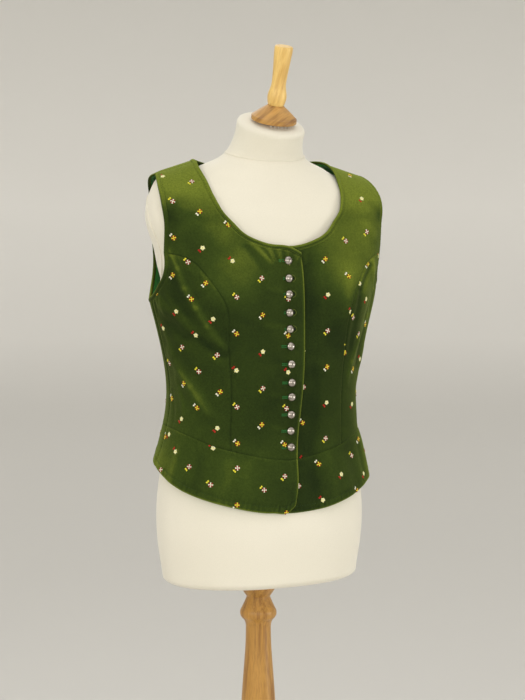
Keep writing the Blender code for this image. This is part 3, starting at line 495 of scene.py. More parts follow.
# Height of the waist seam and of the hem at each angle from centre front.
WAIST_HEIGHTS = (
    (0, 993), (12, 997), (25, 1005), (38, 1014), (55, 1028), (70, 1036), (90, 1040), (130, 1041),
    (180, 1041),
)  # fmt: skip
HEM_HEIGHTS = (
    (0, 917), (15, 920), (30, 929), (48, 943), (61, 954), (75, 967), (90, 980), (130, 991), (180, 993),
)  # fmt: skip
# A row of the back's grid that dips under the armholes.
SHELF_HEIGHTS = ((90, 1234), (97, 1216), (105, 1201), (118, 1190), (140, 1192), (180, 1196))
# The overlap's edge swings back towards the middle below the waist.
OVERLAP_X_Z = (
    (22.5, 1297), (24, 1280), (25, 1250), (25, 1200), (22, 1130), (18, 1080), (14, 1037), (10, 993),
)  # fmt: skip
OVERLAP_PEPLUM_X_Z = ((10, 993), (9, 970), (6, 948), (1, 928))
print("largest folds:", len(FOLDS))


# %% A smooth curve through a short table
def smooth_through(x, y):
    """Smooth function that takes each row of y at its x."""
    x, y = np.asarray(x, float), np.asarray(y, float)
    rows = y.reshape(len(x), -1)
    step = np.diff(x)
    system, right = np.eye(len(x)), np.zeros_like(rows)
    for i in range(1, len(x) - 1):
        system[i, i - 1 : i + 2] = step[i - 1], 2 * (step[i - 1] + step[i]), step[i]
        right[i] = 6 * ((rows[i + 1] - rows[i]) / step[i] - (rows[i] - rows[i - 1]) / step[i - 1])
    bend = np.linalg.solve(system, right)

    def value(at):
        """The curve at one place or at an array of them."""
        at = np.clip(np.asarray(at, float), x[0], x[-1])
        i = np.clip(np.searchsorted(x, at) - 1, 0, len(x) - 2)
        h = step[i][..., None]
        a, b = (x[i + 1] - at)[..., None] / h, (at - x[i])[..., None] / h
        out = a * rows[i] + b * rows[i + 1] + ((a**3 - a) * bend[i] + (b**3 - b) * bend[i + 1]) * h * h / 6
        return out.reshape(at.shape + y.shape[1:])

    return value


def ramp(x, start, end):
    """Smooth step from 0 at start to 1 at end."""
    t = np.clip((x - start) / (end - start), 0, 1)
    return t * t * (3 - 2 * t)


# %% The body surface
class Surface:
    """A body surface through a table of rings, with its busts and folds. It works on whole arrays."""

    def __init__(self, rings, bust, folds=()):
        level_rings = [ring + ring[:1] * 3 if len(ring) == LEVEL_RING else ring for ring in rings]
        table = np.array(level_rings, float)
        self.rings = smooth_through(table[:, 0], table[:, 1:])
        self.bust = bust
        self.folds = folds

    def ring_point(self, angle, level):
        """Point of the surface without its folds."""
        angle, level = np.broadcast_arrays(np.asarray(angle, float), np.asarray(level, float))
        ring = np.moveaxis(self.rings(level), -1, 0)
        across, half_width, middle, front, back, square_front, square_back, z_front, z_side, z_back = ring
        side, forward = np.sin(np.radians(angle)), np.cos(np.radians(angle))
        ahead = forward >= 0
        square = np.where(ahead, square_front, square_back)
        end = np.where(ahead, front, back)
        swell = (np.abs(side) ** square + np.abs(forward) ** square) ** (-1 / square)
        share = swell * forward
        lean = (z_front - z_back) / 2
        drop = (z_front + z_back) / 2 - z_side
        reach = np.where(level > BUST_LEVEL, BUST_REACH_UP, BUST_REACH_DOWN)
        off_peak = (np.abs(angle) - BUST_ANGLE) / BUST_ANGLE_REACH
        fullness = self.bust * np.exp(-(off_peak**2) - ((level - BUST_LEVEL) / reach) ** 2)
        x = across + half_width * swell * side
        y = middle + (end - middle) * np.abs(share) - np.where(ahead, fullness, 0)
        z = z_side + lean * share + drop * share * share
        return np.stack([x, y, z], -1)

    def slopes(self, angle, level):
        """How the point moves for one degree of angle and for one level."""
        angle, level = np.asarray(angle, float), np.asarray(level, float)
        by_angle = self.ring_point(angle + 0.5, level) - self.ring_point(angle - 0.5, level)
        by_level = (self.ring_point(angle, level + 1) - self.ring_point(angle, level - 1)) / 2
        return by_angle, by_level

    def normal(self, angle, level):
        """Direction straight out of the surface."""
        out = np.cross(*self.slopes(angle, level))
        return out / np.linalg.norm(out, axis=-1, keepdims=True)

    def point(self, angle, level, out=0.0):
        """Point of the surface with its folds, moved out along the normal."""
        rise = creased(self.folds, angle, level) + out
        return self.ring_point(angle, level) + rise[..., None] * self.normal(angle, level)

    def find(self, first, second, axes, guess):
        """The (angle, level) where two of the point's coordinates have the given values."""
        place = np.array(guess, float)
        for _ in range(30):
            miss = self.ring_point(*place)[list(axes)] - (first, second)
            if np.abs(miss).max() < 1e-6:
                break
            slope = np.column_stack([s[list(axes)] for s in self.slopes(*place)])
            place -= np.clip(np.linalg.solve(slope, miss), (-8, -15), (8, 15))
        return place


DEGREE = 2.6  # millimetres of cloth in one degree, on average


def creased(rows, angle, level):
    """Height of soft ridges and troughs, each from one place of the surface to another."""
    angle, level = np.broadcast_arrays(np.asarray(angle, float), np.asarray(level, float))
    rise = np.zeros(angle.shape)
    for angle_from, level_from, angle_to, level_to, reach, height in rows:
        run = np.array([(angle_to - angle_from) * DEGREE, level_to - level_from])
        turn = (angle - angle_from + 180) % 360 - 180
        away = np.stack([turn * DEGREE, level - level_from], -1)
        t = away @ run / (run @ run)
        across = np.linalg.norm(away - np.clip(t, 0, 1)[..., None] * run, axis=-1)
        bell = np.exp(-((across / reach) ** 2))
        rise += height * bell * np.sin(math.pi * np.clip(0.5 * t + 0.25, 0.1, 0.9))
    return rise


VEST = Surface(VEST_RINGS, VEST_BUST, FOLDS)
TORSO = Surface(TORSO_RINGS, TORSO_BUST)
print("centre front at level 1200:", VEST.point(0.0, 1200.0).round(1))

# %% [markdown]
# ## The cut
#
# A maker cuts the vest as two centre fronts, two side fronts, a back and a peplum of three pieces.
# Each edge is traced as a line of places at even steps, and two pieces that are sewn together use the
# same line, each moved in by half of the seam gap.


# %% Lines of places
def front_places(x_z, side):
    """Places of (X, Z) pairs on the front, on the wearer's left for side 1 and right for side -1."""
    places = []
    for x, z in x_z:
        guess = (math.degrees(math.atan2(side * x, 110)), z + 0.2 * max(0, z - 1300))
        places.append(tuple(VEST.find(side * x, z, (0, 2), guess)))
    return places


def side_places(y_z, angle_guess):
    """Places of (Y, Z) pairs on the wearer's left side."""
    return [tuple(VEST.find(y, z, (1, 2), (angle_guess, z + 0.2 * max(0, z - 1300)))) for y, z in y_z]


def trace(places, segments, margins=(0, 0)):
    """Places at even steps along the smooth line through the given places."""
    places = np.array(places, float)
    steps = np.linalg.norm(np.diff(VEST.ring_point(places[:, 0], places[:, 1]), axis=0), axis=1)
    reach = np.concatenate([[0], np.cumsum(steps)])
    at = np.linspace(margins[0], reach[-1] - margins[1], segments + 1)
    at[[0, -1]] = 0, reach[-1]
    return smooth_through(reach, places)(at)


def chain(*runs):
    """Runs of places joined head to tail, each shared place once."""
    return np.concatenate([runs[0]] + [run[1:] for run in runs[1:]])


def on_right(run):
    """A run of the left front on the right front."""
    return run * (-1, 1)


def on_right_back(run):
    """A run of the left half of the back on its right half."""
    return (360, 0) + run * (-1, 1)


def height_run(heights, angles):
    """Places of a level-by-angle table at the given angles, the same on both halves."""
    table, angles = np.array(heights, float), np.asarray(angles, float)
    folded = np.where(angles <= 180, np.abs(angles), 360 - angles)
    return np.column_stack([angles, smooth_through(table[:, 0], table[:, 1])(folded)])


def with_height(run, heights, end):
    """The run with one end's level taken from a level-by-angle table."""
    run = [tuple(place) for place in run]
    run[end] = tuple(height_run(heights, [run[end][0]])[0])
    return run


# %% Trace every edge
# Grid cells of each edge. Edges that meet at a seam share them.
ROWS_PRINCESS, ROWS_ARM_FRONT, ROWS_ARM_BACK = 15, 7, 9
ROWS_EDGE, ROWS_NECK = 12, 10
ROWS_PEPLUM = 4
ROW_LINING = 12  # row of the back where its lining ends
EVENING_ROUNDS = 2
COLUMNS_CENTRE, COLUMNS_SIDE, COLUMNS_BACK_NECK = 7, 6, 12

TO_BINDING = (0, BINDING_WIDTH)


def princess(side):
    """The princess seam of one half, from the waist to the armhole."""
    corner = side_places(ARMHOLE_LOW_Y_Z[:1], 65)[0]
    run = with_height(front_places(PRINCESS_X_Z, side), WAIST_HEIGHTS, 0) + [(side * corner[0], corner[1])]
    return trace(run, ROWS_PRINCESS, TO_BINDING)


PRINCESS, PRINCESS_RIGHT = princess(1), princess(-1)
SIDE_SEAM = trace([height_run(WAIST_HEIGHTS, [90])[0], (90, UNDERARM_LEVEL)], ROWS_PRINCESS, TO_BINDING)
SHOULDER = trace([(90, NECK_POINT_LEVEL), (90, TIP_LEVEL)], COLUMNS_CENTRE, (BINDING_WIDTH, BINDING_WIDTH))
ARM_FRONT = trace(side_places(ARMHOLE_FRONT_Y_Z[::-1], 65) + [(90, TIP_LEVEL)], ROWS_ARM_FRONT)
ARM_LOW = trace(side_places(ARMHOLE_LOW_Y_Z[:-1], 70) + [(90, UNDERARM_LEVEL)], COLUMNS_SIDE)
ARM_BACK = trace(
    [(90, UNDERARM_LEVEL)] + side_places(ARMHOLE_BACK_Y_Z[1:], 110) + [(90, TIP_LEVEL)], ROWS_ARM_BACK
)
UNDERLAP_PLACES = front_places([(-UNDERLAP_EDGE, z) for z in (920, 993, 1150, 1308)], -1)
NECK_LEFT = trace(
    UNDERLAP_PLACES[-1:] + front_places(NECKLINE_X_Z, 1) + [(90, NECK_POINT_LEVEL)], ROWS_NECK
)
NECK_RIGHT = trace(
    front_places(NECK_CORNER_X_Z, 1) + front_places(NECKLINE_X_Z, -1) + [(-90, NECK_POINT_LEVEL)], ROWS_NECK
)
BACK_NECK = trace(
    [(angle, NECK_POINT_LEVEL - BACK_NECK_DROP * math.sin(math.radians(angle - 90)) ** 2)
     for angle in range(90, 271, 18)],
    COLUMNS_BACK_NECK,
)  # fmt: skip
OVERLAP = trace(with_height(front_places(OVERLAP_X_Z[::-1], 1), WAIST_HEIGHTS, 0), ROWS_EDGE, TO_BINDING)
UNDERLAP = trace(with_height(UNDERLAP_PLACES[1:], WAIST_HEIGHTS, 0), ROWS_EDGE, TO_BINDING)
OVERLAP_PEPLUM = trace(
    with_height(front_places(OVERLAP_PEPLUM_X_Z[::-1], 1), WAIST_HEIGHTS, -1), ROWS_PEPLUM
)
UNDERLAP_PEPLUM = trace(
    with_height(with_height(UNDERLAP_PLACES[:2], HEM_HEIGHTS, 0), WAIST_HEIGHTS, -1), ROWS_PEPLUM
)
PEPLUM_SIDE = trace([height_run(HEM_HEIGHTS, [90])[0], height_run(WAIST_HEIGHTS, [90])[0]], ROWS_PEPLUM)



def waist(start, end, columns):
    """The waist seam between two angles."""
    return height_run(WAIST_HEIGHTS, np.linspace(start, end, columns + 1))


WAIST_RIGHT_CENTRE = waist(PRINCESS_RIGHT[0][0], OVERLAP[0][0], COLUMNS_CENTRE)
WAIST_LEFT_CENTRE = waist(UNDERLAP[0][0], PRINCESS[0][0], COLUMNS_CENTRE)
WAIST_LEFT_SIDE = waist(PRINCESS[0][0], 90, COLUMNS_SIDE)
WAIST_RIGHT_SIDE = waist(-90, PRINCESS_RIGHT[0][0], COLUMNS_SIDE)
WAIST_RIGHT = chain(WAIST_RIGHT_SIDE, WAIST_RIGHT_CENTRE)
WAIST_LEFT = chain(WAIST_LEFT_CENTRE, WAIST_LEFT_SIDE)
WAIST_BACK = waist(90, 270, 2 * COLUMNS_CENTRE + COLUMNS_BACK_NECK)
BACK_SHELF = height_run(SHELF_HEIGHTS, WAIST_BACK[:, 0])


def hem_run(waist, first, last):
    """The hem under a piece of the waist seam, from place first to place last."""
    angles = np.interp(waist[:, 0], waist[[0, -1], 0], (first[0], last[0]))
    return np.vstack([first, height_run(HEM_HEIGHTS, angles)[1:-1], last])


print("neckline edge:", len(NECK_LEFT) + len(NECK_RIGHT) + len(BACK_NECK) - 3, "steps")


# %% Move edges inwards
def inset(run, before, after, amounts, closed=False):
    """The run's places moved to the left of its travel, square to it on the cloth.

    amounts holds the distance for each of the run's segments. before and after are the (place, amount)
    of the neighbouring segments of the outline, or None at a free end.
    """
    count = len(run)
    places = [tuple(place) for place in run]
    steps = [(places[i], places[i + 1], amounts[i]) for i in range(count - 1)]
    if closed:
        steps.append((places[-1], places[0], amounts[-1]))
    moved = []
    for i in range(count):
        if closed:
            incoming, outgoing = steps[i - 1], steps[i]
        else:
            incoming = steps[i - 1] if i else before and (before[0], places[0], before[1])
            outgoing = steps[i] if i < count - 1 else after and (places[-1], after[0], after[1])
        moved.append(corner_move(places[i], incoming or outgoing, outgoing or incoming))
    return np.array(moved)


def corner_move(place, incoming, outgoing):
    """Where a corner goes when the segments on both sides of it move inwards."""
    normal = VEST.normal(*place)
    inward = []
    for start, end, _ in (incoming, outgoing):
        travel = VEST.ring_point(*end) - VEST.ring_point(*start)
        across = np.cross(normal, travel)
        inward.append(across / np.linalg.norm(across))
    first, second = incoming[2], outgoing[2]
    cosine = inward[0] @ inward[1]
    if cosine > 0.999:
        move = inward[0] * (first + second) / 2
    else:
        share = np.linalg.solve([[1, cosine], [cosine, 1]], [first, second])
        move = share[0] * inward[0] + share[1] * inward[1]
    slope = np.column_stack(VEST.slopes(*place))
    return np.array(place) + np.linalg.lstsq(slope, move, rcond=None)[0]


# %% Fill a piece with a grid of places
def panel_places(bottom, right, top, left, shelf=None):
    """Grid of places between four edges, each a list of (run, inset) head to tail.

    bottom and top run from smaller to larger angles, left and right run upwards. shelf is the run of
    one row across the panel, which starts and ends where the first part of left and right ends.
    """
    loop = bottom + right + [(run[::-1], amount) for run, amount in top[::-1] + left[::-1]]
    outline = np.concatenate([run[:-1] for run, _ in loop])
    amounts = [amount for run, amount in loop for _ in run[:-1]]
    moved = inset(outline, None, None, amounts, closed=True)
    columns = sum(len(run) - 1 for run, _ in bottom)
    rows = sum(len(run) - 1 for run, _ in left)
    moved = np.vstack([moved, moved[:1]])
    low = moved[: columns + 1]
    far = moved[columns : columns + rows + 1]
    high = moved[columns + rows : 2 * columns + rows + 1][::-1]
    near = moved[2 * columns + rows :][::-1]
    if shelf is None:
        return patch(low, far, high, near)
    row = len(left[0][0]) - 1
    middle = np.vstack([near[row], shelf[1:-1], far[row]])
    lower = patch(low, far[: row + 1], middle, near[: row + 1])
    return np.vstack([lower, patch(middle, far[row:], high, near[row:])[1:]])


def settle(points, places):
    """The places of the surface nearest the points, looked for from places near them."""
    for _ in range(8):
        by_angle, by_level = VEST.slopes(places[..., 0], places[..., 1])
        miss = points - VEST.ring_point(places[..., 0], places[..., 1])
        a, b, c = (by_angle**2).sum(-1), (by_angle * by_level).sum(-1), (by_level**2).sum(-1)
        p, q = (by_angle * miss).sum(-1), (by_level * miss).sum(-1)
        move = np.stack([c * p - b * q, a * q - b * p], -1) / (a * c - b * b)[..., None]
        places = places + move
    return places


def blend(low, far, high, near):
    """Grid between four edges, each inner point led by the four edge points of its row and column."""
    s = np.linspace(0, 1, len(low))[:, None]
    t = np.linspace(0, 1, len(near))[:, None, None]
    corners = (1 - t) * ((1 - s) * low[0] + s * low[-1]) + t * ((1 - s) * high[0] + s * high[-1])
    return (1 - t) * low + t * high + (1 - s) * near[:, None] + s * far[:, None] - corners


def patch(low, far, high, near):
    """Grid of places spanning four edges of places, evened out so that its lines run smoothly."""
    places = blend(low, far, high, near)
    p = blend(*(VEST.ring_point(run[:, 0], run[:, 1]) for run in (low, far, high, near)))
    for _ in range(EVENING_ROUNDS):
        along_row = (p[1:-1, 2:] - p[1:-1, :-2]) / 2
        up = (p[2:, 1:-1] - p[:-2, 1:-1]) / 2
        a = (up**2).sum(-1, keepdims=True)
        b = (along_row * up).sum(-1, keepdims=True)
        c = (along_row**2).sum(-1, keepdims=True)
        twist = (p[2:, 2:] - p[2:, :-2] - p[:-2, 2:] + p[:-2, :-2]) / 4
        beside = p[1:-1, 2:] + p[1:-1, :-2]
        above = p[2:, 1:-1] + p[:-2, 1:-1]
        p[1:-1, 1:-1] = (a * beside + c * above - 2 * b * twist) / (2 * (a + c))
    places[1:-1, 1:-1] = settle(p[1:-1, 1:-1], places[1:-1, 1:-1])
    return places
# %% [markdown]
# ## The cloth
#
# Each piece is one flat grid, as the cut piece is flat, bent onto the body surface and extruded
# through the cloth's thickness. The grid of places is first made finer with smooth lines. Then the
# hand of the cloth goes in: soft creases placed one by one, the dip beside each seam, the small
# puckers that a row of stitches draws up, and the rounded turn of each edge, which is a bevel.


# %% Finer grids and lengths along them
def finer(grid, factor, breaks):
    """The grid with each cell of its first axis cut in factor, smooth between the given break rows."""
    stops = [0, *breaks, len(grid) - 1]
    parts = []
    for first, last in zip(stops, stops[1:]):
        at = np.linspace(first, last, (last - first) * factor + 1)
        parts.append(smooth_through(np.arange(first, last + 1), grid[first : last + 1])(at)[:-1])
    return np.concatenate([*parts, grid[-1:]])


def finer_both(grid, factors, row_breaks, column_breaks):
    """The grid made finer along both of its axes."""
    rows = finer(grid, factors[0], row_breaks)
    return np.swapaxes(finer(np.swapaxes(rows, 0, 1), factors[1], column_breaks), 0, 1)


def reach_along(points, axis):
    """Length walked from the first point along one axis of a grid."""
    steps = np.linalg.norm(np.diff(points, axis=axis), axis=-1)
    start = np.zeros_like(np.take(steps, [0], axis=axis))
    return np.concatenate([start, np.cumsum(steps, axis=axis)], axis=axis)


def cut_of(flat_points):
    """Size and area of a piece laid flat, in metres."""
    size = (reach_along(flat_points, 1)[:, -1].max() * MM, reach_along(flat_points, 0)[-1].max() * MM)
    cells = np.cross(np.diff(flat_points[:-1], axis=1), np.diff(flat_points[:, :-1], axis=0))
    return size, float(np.linalg.norm(cells, axis=-1).sum() * MM * MM)


def uneven(s, length, seed):
    """Irregular wave from about -1 to 1 with this average length, in millimetres."""
    turn = math.tau / length
    swell = 0.65 + 0.35 * np.sin(s * turn * 0.171 + 2.1 * seed)
    waves = ((0.6, 1, 1.7 * seed), (0.45, 1.37, 2.9 * seed + 0.8), (0.3, 0.61, 4.3 * seed))
    return swell * sum(part * np.sin(s * turn * pace + shift) for part, pace, shift in waves)


def bell(away, middle, spread):
    """Height from 0 to 1 at a distance, highest at the middle."""
    return np.exp(-(((away - middle) / spread) ** 2))


# %% Creases placed one by one
# A soft ridge (+) or trough (-) from one place of the cloth to another: reach is its half width and
# rise its height, in millimetres.
CREASES = (
    # pulls from the right underarm towards the waist
    (-57, 1297, -53.5, 1272, 4, 1.6), (-53.5, 1272, -51.5, 1244, 5, 2.0),
    (-51.5, 1244, -47.8, 1216, 5, 2.2), (-47.8, 1216, -43.8, 1189, 5, 2.0),
    (-43.8, 1189, -36, 1156, 5, 1.5), (-60, 1270, -56, 1226, 7, -0.8), (-53, 1206, -48, 1176, 7, -0.6),
    (-68.5, 1122, -60, 1100, 5, 1.1), (-60, 1100, -47.8, 1064, 5, 1.1), (-66, 1236, -56, 1200, 5, 0.8),
    (-80, 1226, -66, 1188, 6, 1.3), (-76, 1210, -58, 1166, 7, -0.5), (-84, 1200, -74, 1150, 6, 1.1),
    (-60, 1186, -40, 1140, 7, 0.9), (-58, 1110, -46, 1062, 8, 0.8), (-76, 1112, -66, 1060, 7, 0.9),
    (-84, 1092, -78, 1046, 6, -0.8),
    # gathers under the right armhole
    (-86, 1226, -87, 1204, 2.2, 1.1), (-80, 1228, -80, 1208, 2.0, 0.9), (-74, 1232, -73, 1214, 2.2, 1.0),
    (-91, 1224, -92, 1200, 2.4, 1.0), (-97, 1222, -99, 1198, 2.6, -0.9),
    # easing into the top of the right princess seam
    (-51.5, 1288, -50.5, 1274, 1.6, 0.8), (-49.5, 1285, -48.0, 1270, 1.6, 0.7),
    (-47.5, 1281, -45.5, 1266, 1.5, 0.7), (-41.5, 1266, -39.5, 1252, 1.8, 0.6),
    (-38.5, 1258, -36.5, 1244, 1.8, 0.5),
    # from the neckline to the top buttonhole
    (-17.0, 1309, -8.5, 1280, 3.6, 1.1), (-19.8, 1304, -12.0, 1270, 5.0, -1.2),
    (-12.5, 1302, -8.0, 1286, 2.2, -0.8), (-9.2, 1301, -6.8, 1284, 1.7, 1.3),
    (-6.6, 1300, -5.0, 1285, 1.5, -1.0), (-4.4, 1300, -3.2, 1283, 1.6, 1.3),
    (-2.0, 1300, -1.4, 1285, 1.4, -1.0), (0.2, 1299, 0.6, 1283, 1.6, 1.3),
    (2.6, 1298, 2.6, 1284, 1.5, -1.1), (5.0, 1297, 4.6, 1281, 1.6, 1.2), (7.4, 1296, 7.0, 1280, 1.5, -0.9),
    (9.6, 1295, 9.2, 1278, 1.6, 1.0),
    # drag lines between the buttons
    (-11, 1244, -1, 1236, 4, 0.5), (-13, 1190, -2, 1185, 5, 0.5), (-12, 1136, -2, 1134, 5, -0.4),
    (-12, 1088, -2, 1086, 5, 0.4), (-10, 1040, -1, 1036, 4, 0.4),
    # left side: the hollow beside the princess seam and its ridges
    (46, 1276, 38.5, 1240, 4, -2.2), (38.5, 1240, 37.2, 1196, 4.5, -2.8), (37.2, 1196, 38.5, 1150, 5, -2.2),
    (48, 1280, 55, 1240, 6, 2.2), (55, 1240, 57, 1198, 7, 2.6), (57, 1198, 48, 1162, 7, 2.2),
    (47, 1162, 42, 1130, 6, 1.8), (42, 1132, 40, 1100, 5, 1.2), (31, 1262, 30, 1200, 7, 1.2),
    (72, 1230, 66, 1160, 7, -1.0), (82, 1216, 76, 1150, 7, 1.1), (60, 1080, 56, 1044, 6, 1.0),
    (88, 1100, 84, 1062, 7, -1.2), (84, 1226, 83, 1206, 2.3, 1.0), (90, 1224, 91, 1200, 2.4, 1.0),
    (76, 1230, 75, 1212, 2.2, 0.8),
    # straps
    (-46, 1392, -52, 1352, 8, -0.8), (44, 1396, 50, 1352, 9, -0.9), (-40, 1350, -48, 1322, 8, 0.7),
    (38, 1352, 47, 1320, 8, 0.8),
    # peplum
    (-66, 1006, -70, 962, 7, 0.9), (-48, 1000, -50, 945, 8, -0.8), (-22, 990, -24, 930, 9, 0.7),
    (24, 992, 25, 934, 8, 0.7), (50, 1008, 53, 958, 6, -1.0), (76, 1020, 79, 976, 7, 1.0),
    # back: drag from the underarms to the waist, and the hollow of the spine
    (108, 1206, 128, 1160, 7, 1.1), (252, 1206, 232, 1160, 7, 1.1), (104, 1178, 122, 1130, 7, -1.0),
    (256, 1178, 238, 1130, 7, -1.0), (150, 1100, 162, 1062, 8, 0.9), (208, 1094, 196, 1058, 8, 0.9),
    (126, 1100, 142, 1068, 8, 0.9), (234, 1104, 220, 1066, 8, 0.8), (172, 1080, 188, 1076, 6, -0.7),
    (120, 1320, 136, 1280, 9, 0.8), (240, 1322, 224, 1284, 9, 0.8), (146, 1030, 148, 1000, 8, 0.8),
    (210, 1028, 208, 1000, 8, 0.8), (176, 1390, 184, 1330, 12, -0.6),
)  # fmt: skip
print("creases placed by hand:", len(CREASES))


# %% How the cloth lies near its edges
def under_overlap(angle, level):
    """How far the left front lies in, under the right front."""
    x = VEST.ring_point(angle, level)[..., 0]
    return -LAYER_DROP * (1 - ramp(x, OVERLAP_EDGE + 9, OVERLAP_EDGE + 9 + LAYER_RAMP))


def beside_edge(kind, away, along, seed):
    """Height of the cloth at a distance from an edge, for each kind of edge."""
    if kind == "seam":
        dip = -0.65 * bell(away, 0, 1.4) - 0.22 * bell(away, 0, 6.5)
        return dip + 0.26 * uneven(along, 6.5, seed) * np.exp(-away / 6)
    if kind == "waist":
        return -0.35 * bell(away, 0, 1.2) + 0.20 * uneven(along, 8.0, seed) * np.exp(-away / 9)
    if kind == "bound":
        roll = -0.50 * bell(away, 0, 1.3) + 0.12 * bell(away, 4.2, 2.6)
        return roll + 0.22 * uneven(along, 7.5, seed) * np.exp(-away / 8)
    if kind == "hem":
        tuck = -0.3 * bell(away, 9.5, 1.0) + 0.25 * bell(away, 3, 3)
        return tuck + 0.75 * uneven(along, 8.5, seed) * bell(away, 9, 8)
    return 0.35 * bell(away, 2.2, 2.0) - 0.18 * bell(away, 6.5, 1.2)


def edge_painted_light(kind, away, along, seed):
    """Painted light at a distance from an edge: highlight along free edges and the hem, shade at seams and
    over the hem's waves.
    """
    if kind == "free":
        return 0.85 * bell(away, 0, 1.9)
    if kind == "hem":
        return 0.75 * bell(away, 0, 1.8) - 0.20 * np.maximum(uneven(along, 8.5, seed), 0) * bell(away, 8, 7)
    if kind == "waist":
        return (0.06 * uneven(along, 9.0, seed) - 0.05) * bell(away, 0, 1.6)
    return -0.12 * bell(away, 0, 1.2)


DEEPEST_DIP = -1.25


def lie_of_cloth(points, sides, seed):
    """Height, and extra painted light and shade, over the whole grid from its four edges. sides holds (cells,
    kind) runs.
    """
    height, painted_light_extra = np.zeros(points.shape[:2]), np.zeros(points.shape[:2])
    across, up = reach_along(points, 1), reach_along(points, 0)
    ways = {
        "left": (across, up[:, :1], 0),
        "right": (across[:, -1:] - across, up[:, -1:], 0),
        "bottom": (up, across[:1], 1),
        "top": (up[-1:] - up, across[-1:], 1),
    }
    for number, (side, (away, along, axis)) in enumerate(ways.items()):
        kinds = [kind for cells, kind in sides[side] for _ in range(cells)]
        kinds.append(kinds[-1])
        for kind in sorted(set(kinds)):
            part = np.pad(np.array([float(k == kind) for k in kinds]), 2, mode="edge")
            part = np.convolve(part, np.full(5, 0.2), mode="valid")
            weight = part[:, None] if axis == 0 else part[None, :]
            height += weight * beside_edge(kind, away, along, seed + number)
            painted_light_extra += weight * edge_painted_light(kind, away, along, seed + number)
    return np.maximum(height, DEEPEST_DIP), painted_light_extra


# %% Painted light and shade on the velvet
# Patches of painted light (+) and painted shade (-) on the velvet: X and Z of the middle, 1 for the
# front or -1 for the back, half width and half height in millimetres, and strength.
PAINTED_LIGHT_AND_SHADE_PATCHES = (
    (-150, 1400, 1, 40, 50, 0.06), (150, 1345, 1, 45, 60, 0.26), (-60, 1288, 1, 44, 28, 0.15),
    (-95, 1225, 1, 60, 50, 0.05), (108, 1290, 1, 42, 40, 0.30), (-110, 1230, 1, 30, 30, -0.04),
    (0, 1150, 1, 90, 100, -0.13), (-30, 955, 1, 110, 50, -0.13), (60, 960, 1, 90, 60, -0.13),
    (160, 1200, 1, 28, 100, 0.34), (60, 1190, 1, 40, 60, -0.06), (-140, 1150, 1, 24, 60, 0.05),
    (150, 1290, -1, 60, 50, 0.08), (-150, 1290, -1, 60, 50, 0.08), (-161, 1358, 1, 26, 26, -0.07),
    (-108, 1334, 1, 22, 30, 0.10), (-78, 1282, 1, 28, 18, 0.10), (-172, 1290, 1, 16, 22, 0.14),
    (-64, 1320, 1, 18, 14, -0.07), (-24, 1297, 1, 18, 12, 0.13), (-37, 1247, 1, 20, 26, -0.06),
    (91, 1277, 1, 26, 22, 0.09), (62, 1240, 1, 22, 20, -0.08), (37, 1306, 1, 22, 14, 0.08),
    (132, 966, 1, 26, 30, 0.16), (-140, 1325, 1, 22, 28, -0.05), (-148, 1262, 1, 22, 20, -0.06),
    (-173, 977, 1, 14, 30, 0.10), (133, 1240, 1, 14, 30, 0.14), (90, 1180, -1, 40, 60, 0.06),
    (-60, 1230, -1, 50, 40, 0.07), (30, 1330, -1, 40, 30, -0.06), (-110, 1140, -1, 30, 60, -0.05),
    (70, 990, -1, 40, 30, 0.07),
)  # fmt: skip
UPRIGHT_PAINTED_LIGHT = 0.17  # painted light of cloth that hangs straight down


def paint_light_and_shade(mesh, extra, facing=None):
    """Give each vert a value of painted light and shade: cloth that faces up is painted lighter, as if lit
    from above, and listed patches paint more light or shade.

    extra holds more of it for single verts, as the painted highlight along a free edge, and facing their
    normals where the mesh's own would count an edge in.
    """
    mesh.normal_update()
    layer = mesh.verts.layers.float.new("painted_light")
    place = np.array([vert.co for vert in mesh.verts]) / MM
    if facing is None:
        facing = np.array([vert.normal for vert in mesh.verts])
    # Painted light: cloth that faces up is lighter, as if lit from above.
    lean = np.clip(facing[:, 2], -0.5, 1)
    painted_light = UPRIGHT_PAINTED_LIGHT + 0.80 * lean + 0.28 * lean**2
    for x, z, front, wide, tall, strength in PAINTED_LIGHT_AND_SHADE_PATCHES:
        same_side = np.clip(0.5 - front * facing[:, 1] * 2, 0, 1)
        painted_light += strength * bell(place[:, 0], x, wide) * bell(place[:, 2], z, tall) * same_side
    for vert, value in zip(mesh.verts, np.clip(painted_light + extra, 0, 1)):
        vert[layer] = value


# %% Build one piece of cloth
def finish_piece(name, mesh, materials, nodes=()):
    """Object at the origin from a bmesh, riding on the form's body and standing for its solids."""
    made = linked_object(name, mesh, materials)
    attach(made, "root")
    if nodes:
        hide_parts(*nodes)
    return made


def flat_grid(rows, columns):
    """bmesh of a flat grid, and the (row, column) of each of its verts."""
    mesh = bmesh.new()
    bmesh.ops.create_grid(mesh, x_segments=columns, y_segments=rows, size=0.5)
    cells = {v: (round((v.co.y + 0.5) * rows), round((v.co.x + 0.5) * columns)) for v in mesh.verts}
    return mesh, cells


def bent_grid(outer_points, inner_points):
    """Closed bmesh wall: a flat grid extruded, its outer and inner verts moved to the given points."""
    mesh, outer = flat_grid(outer_points.shape[0] - 1, outer_points.shape[1] - 1)
    cell_at = {tuple(vert.co): cell for vert, cell in outer.items()}
    through = bmesh.ops.extrude_face_region(mesh, geom=mesh.faces[:], use_keep_orig=True)
    inner = {v: cell_at[tuple(v.co)] for v in through["geom"] if isinstance(v, bmesh.types.BMVert)}
    inner_faces = [f for f in through["geom"] if isinstance(f, bmesh.types.BMFace)]
    for verts, points in ((outer, outer_points), (inner, inner_points)):
        for vert, cell in verts.items():
            vert.co = points[cell] * MM
    bmesh.ops.recalc_face_normals(mesh, faces=mesh.faces)
    return mesh, outer, inner, inner_faces


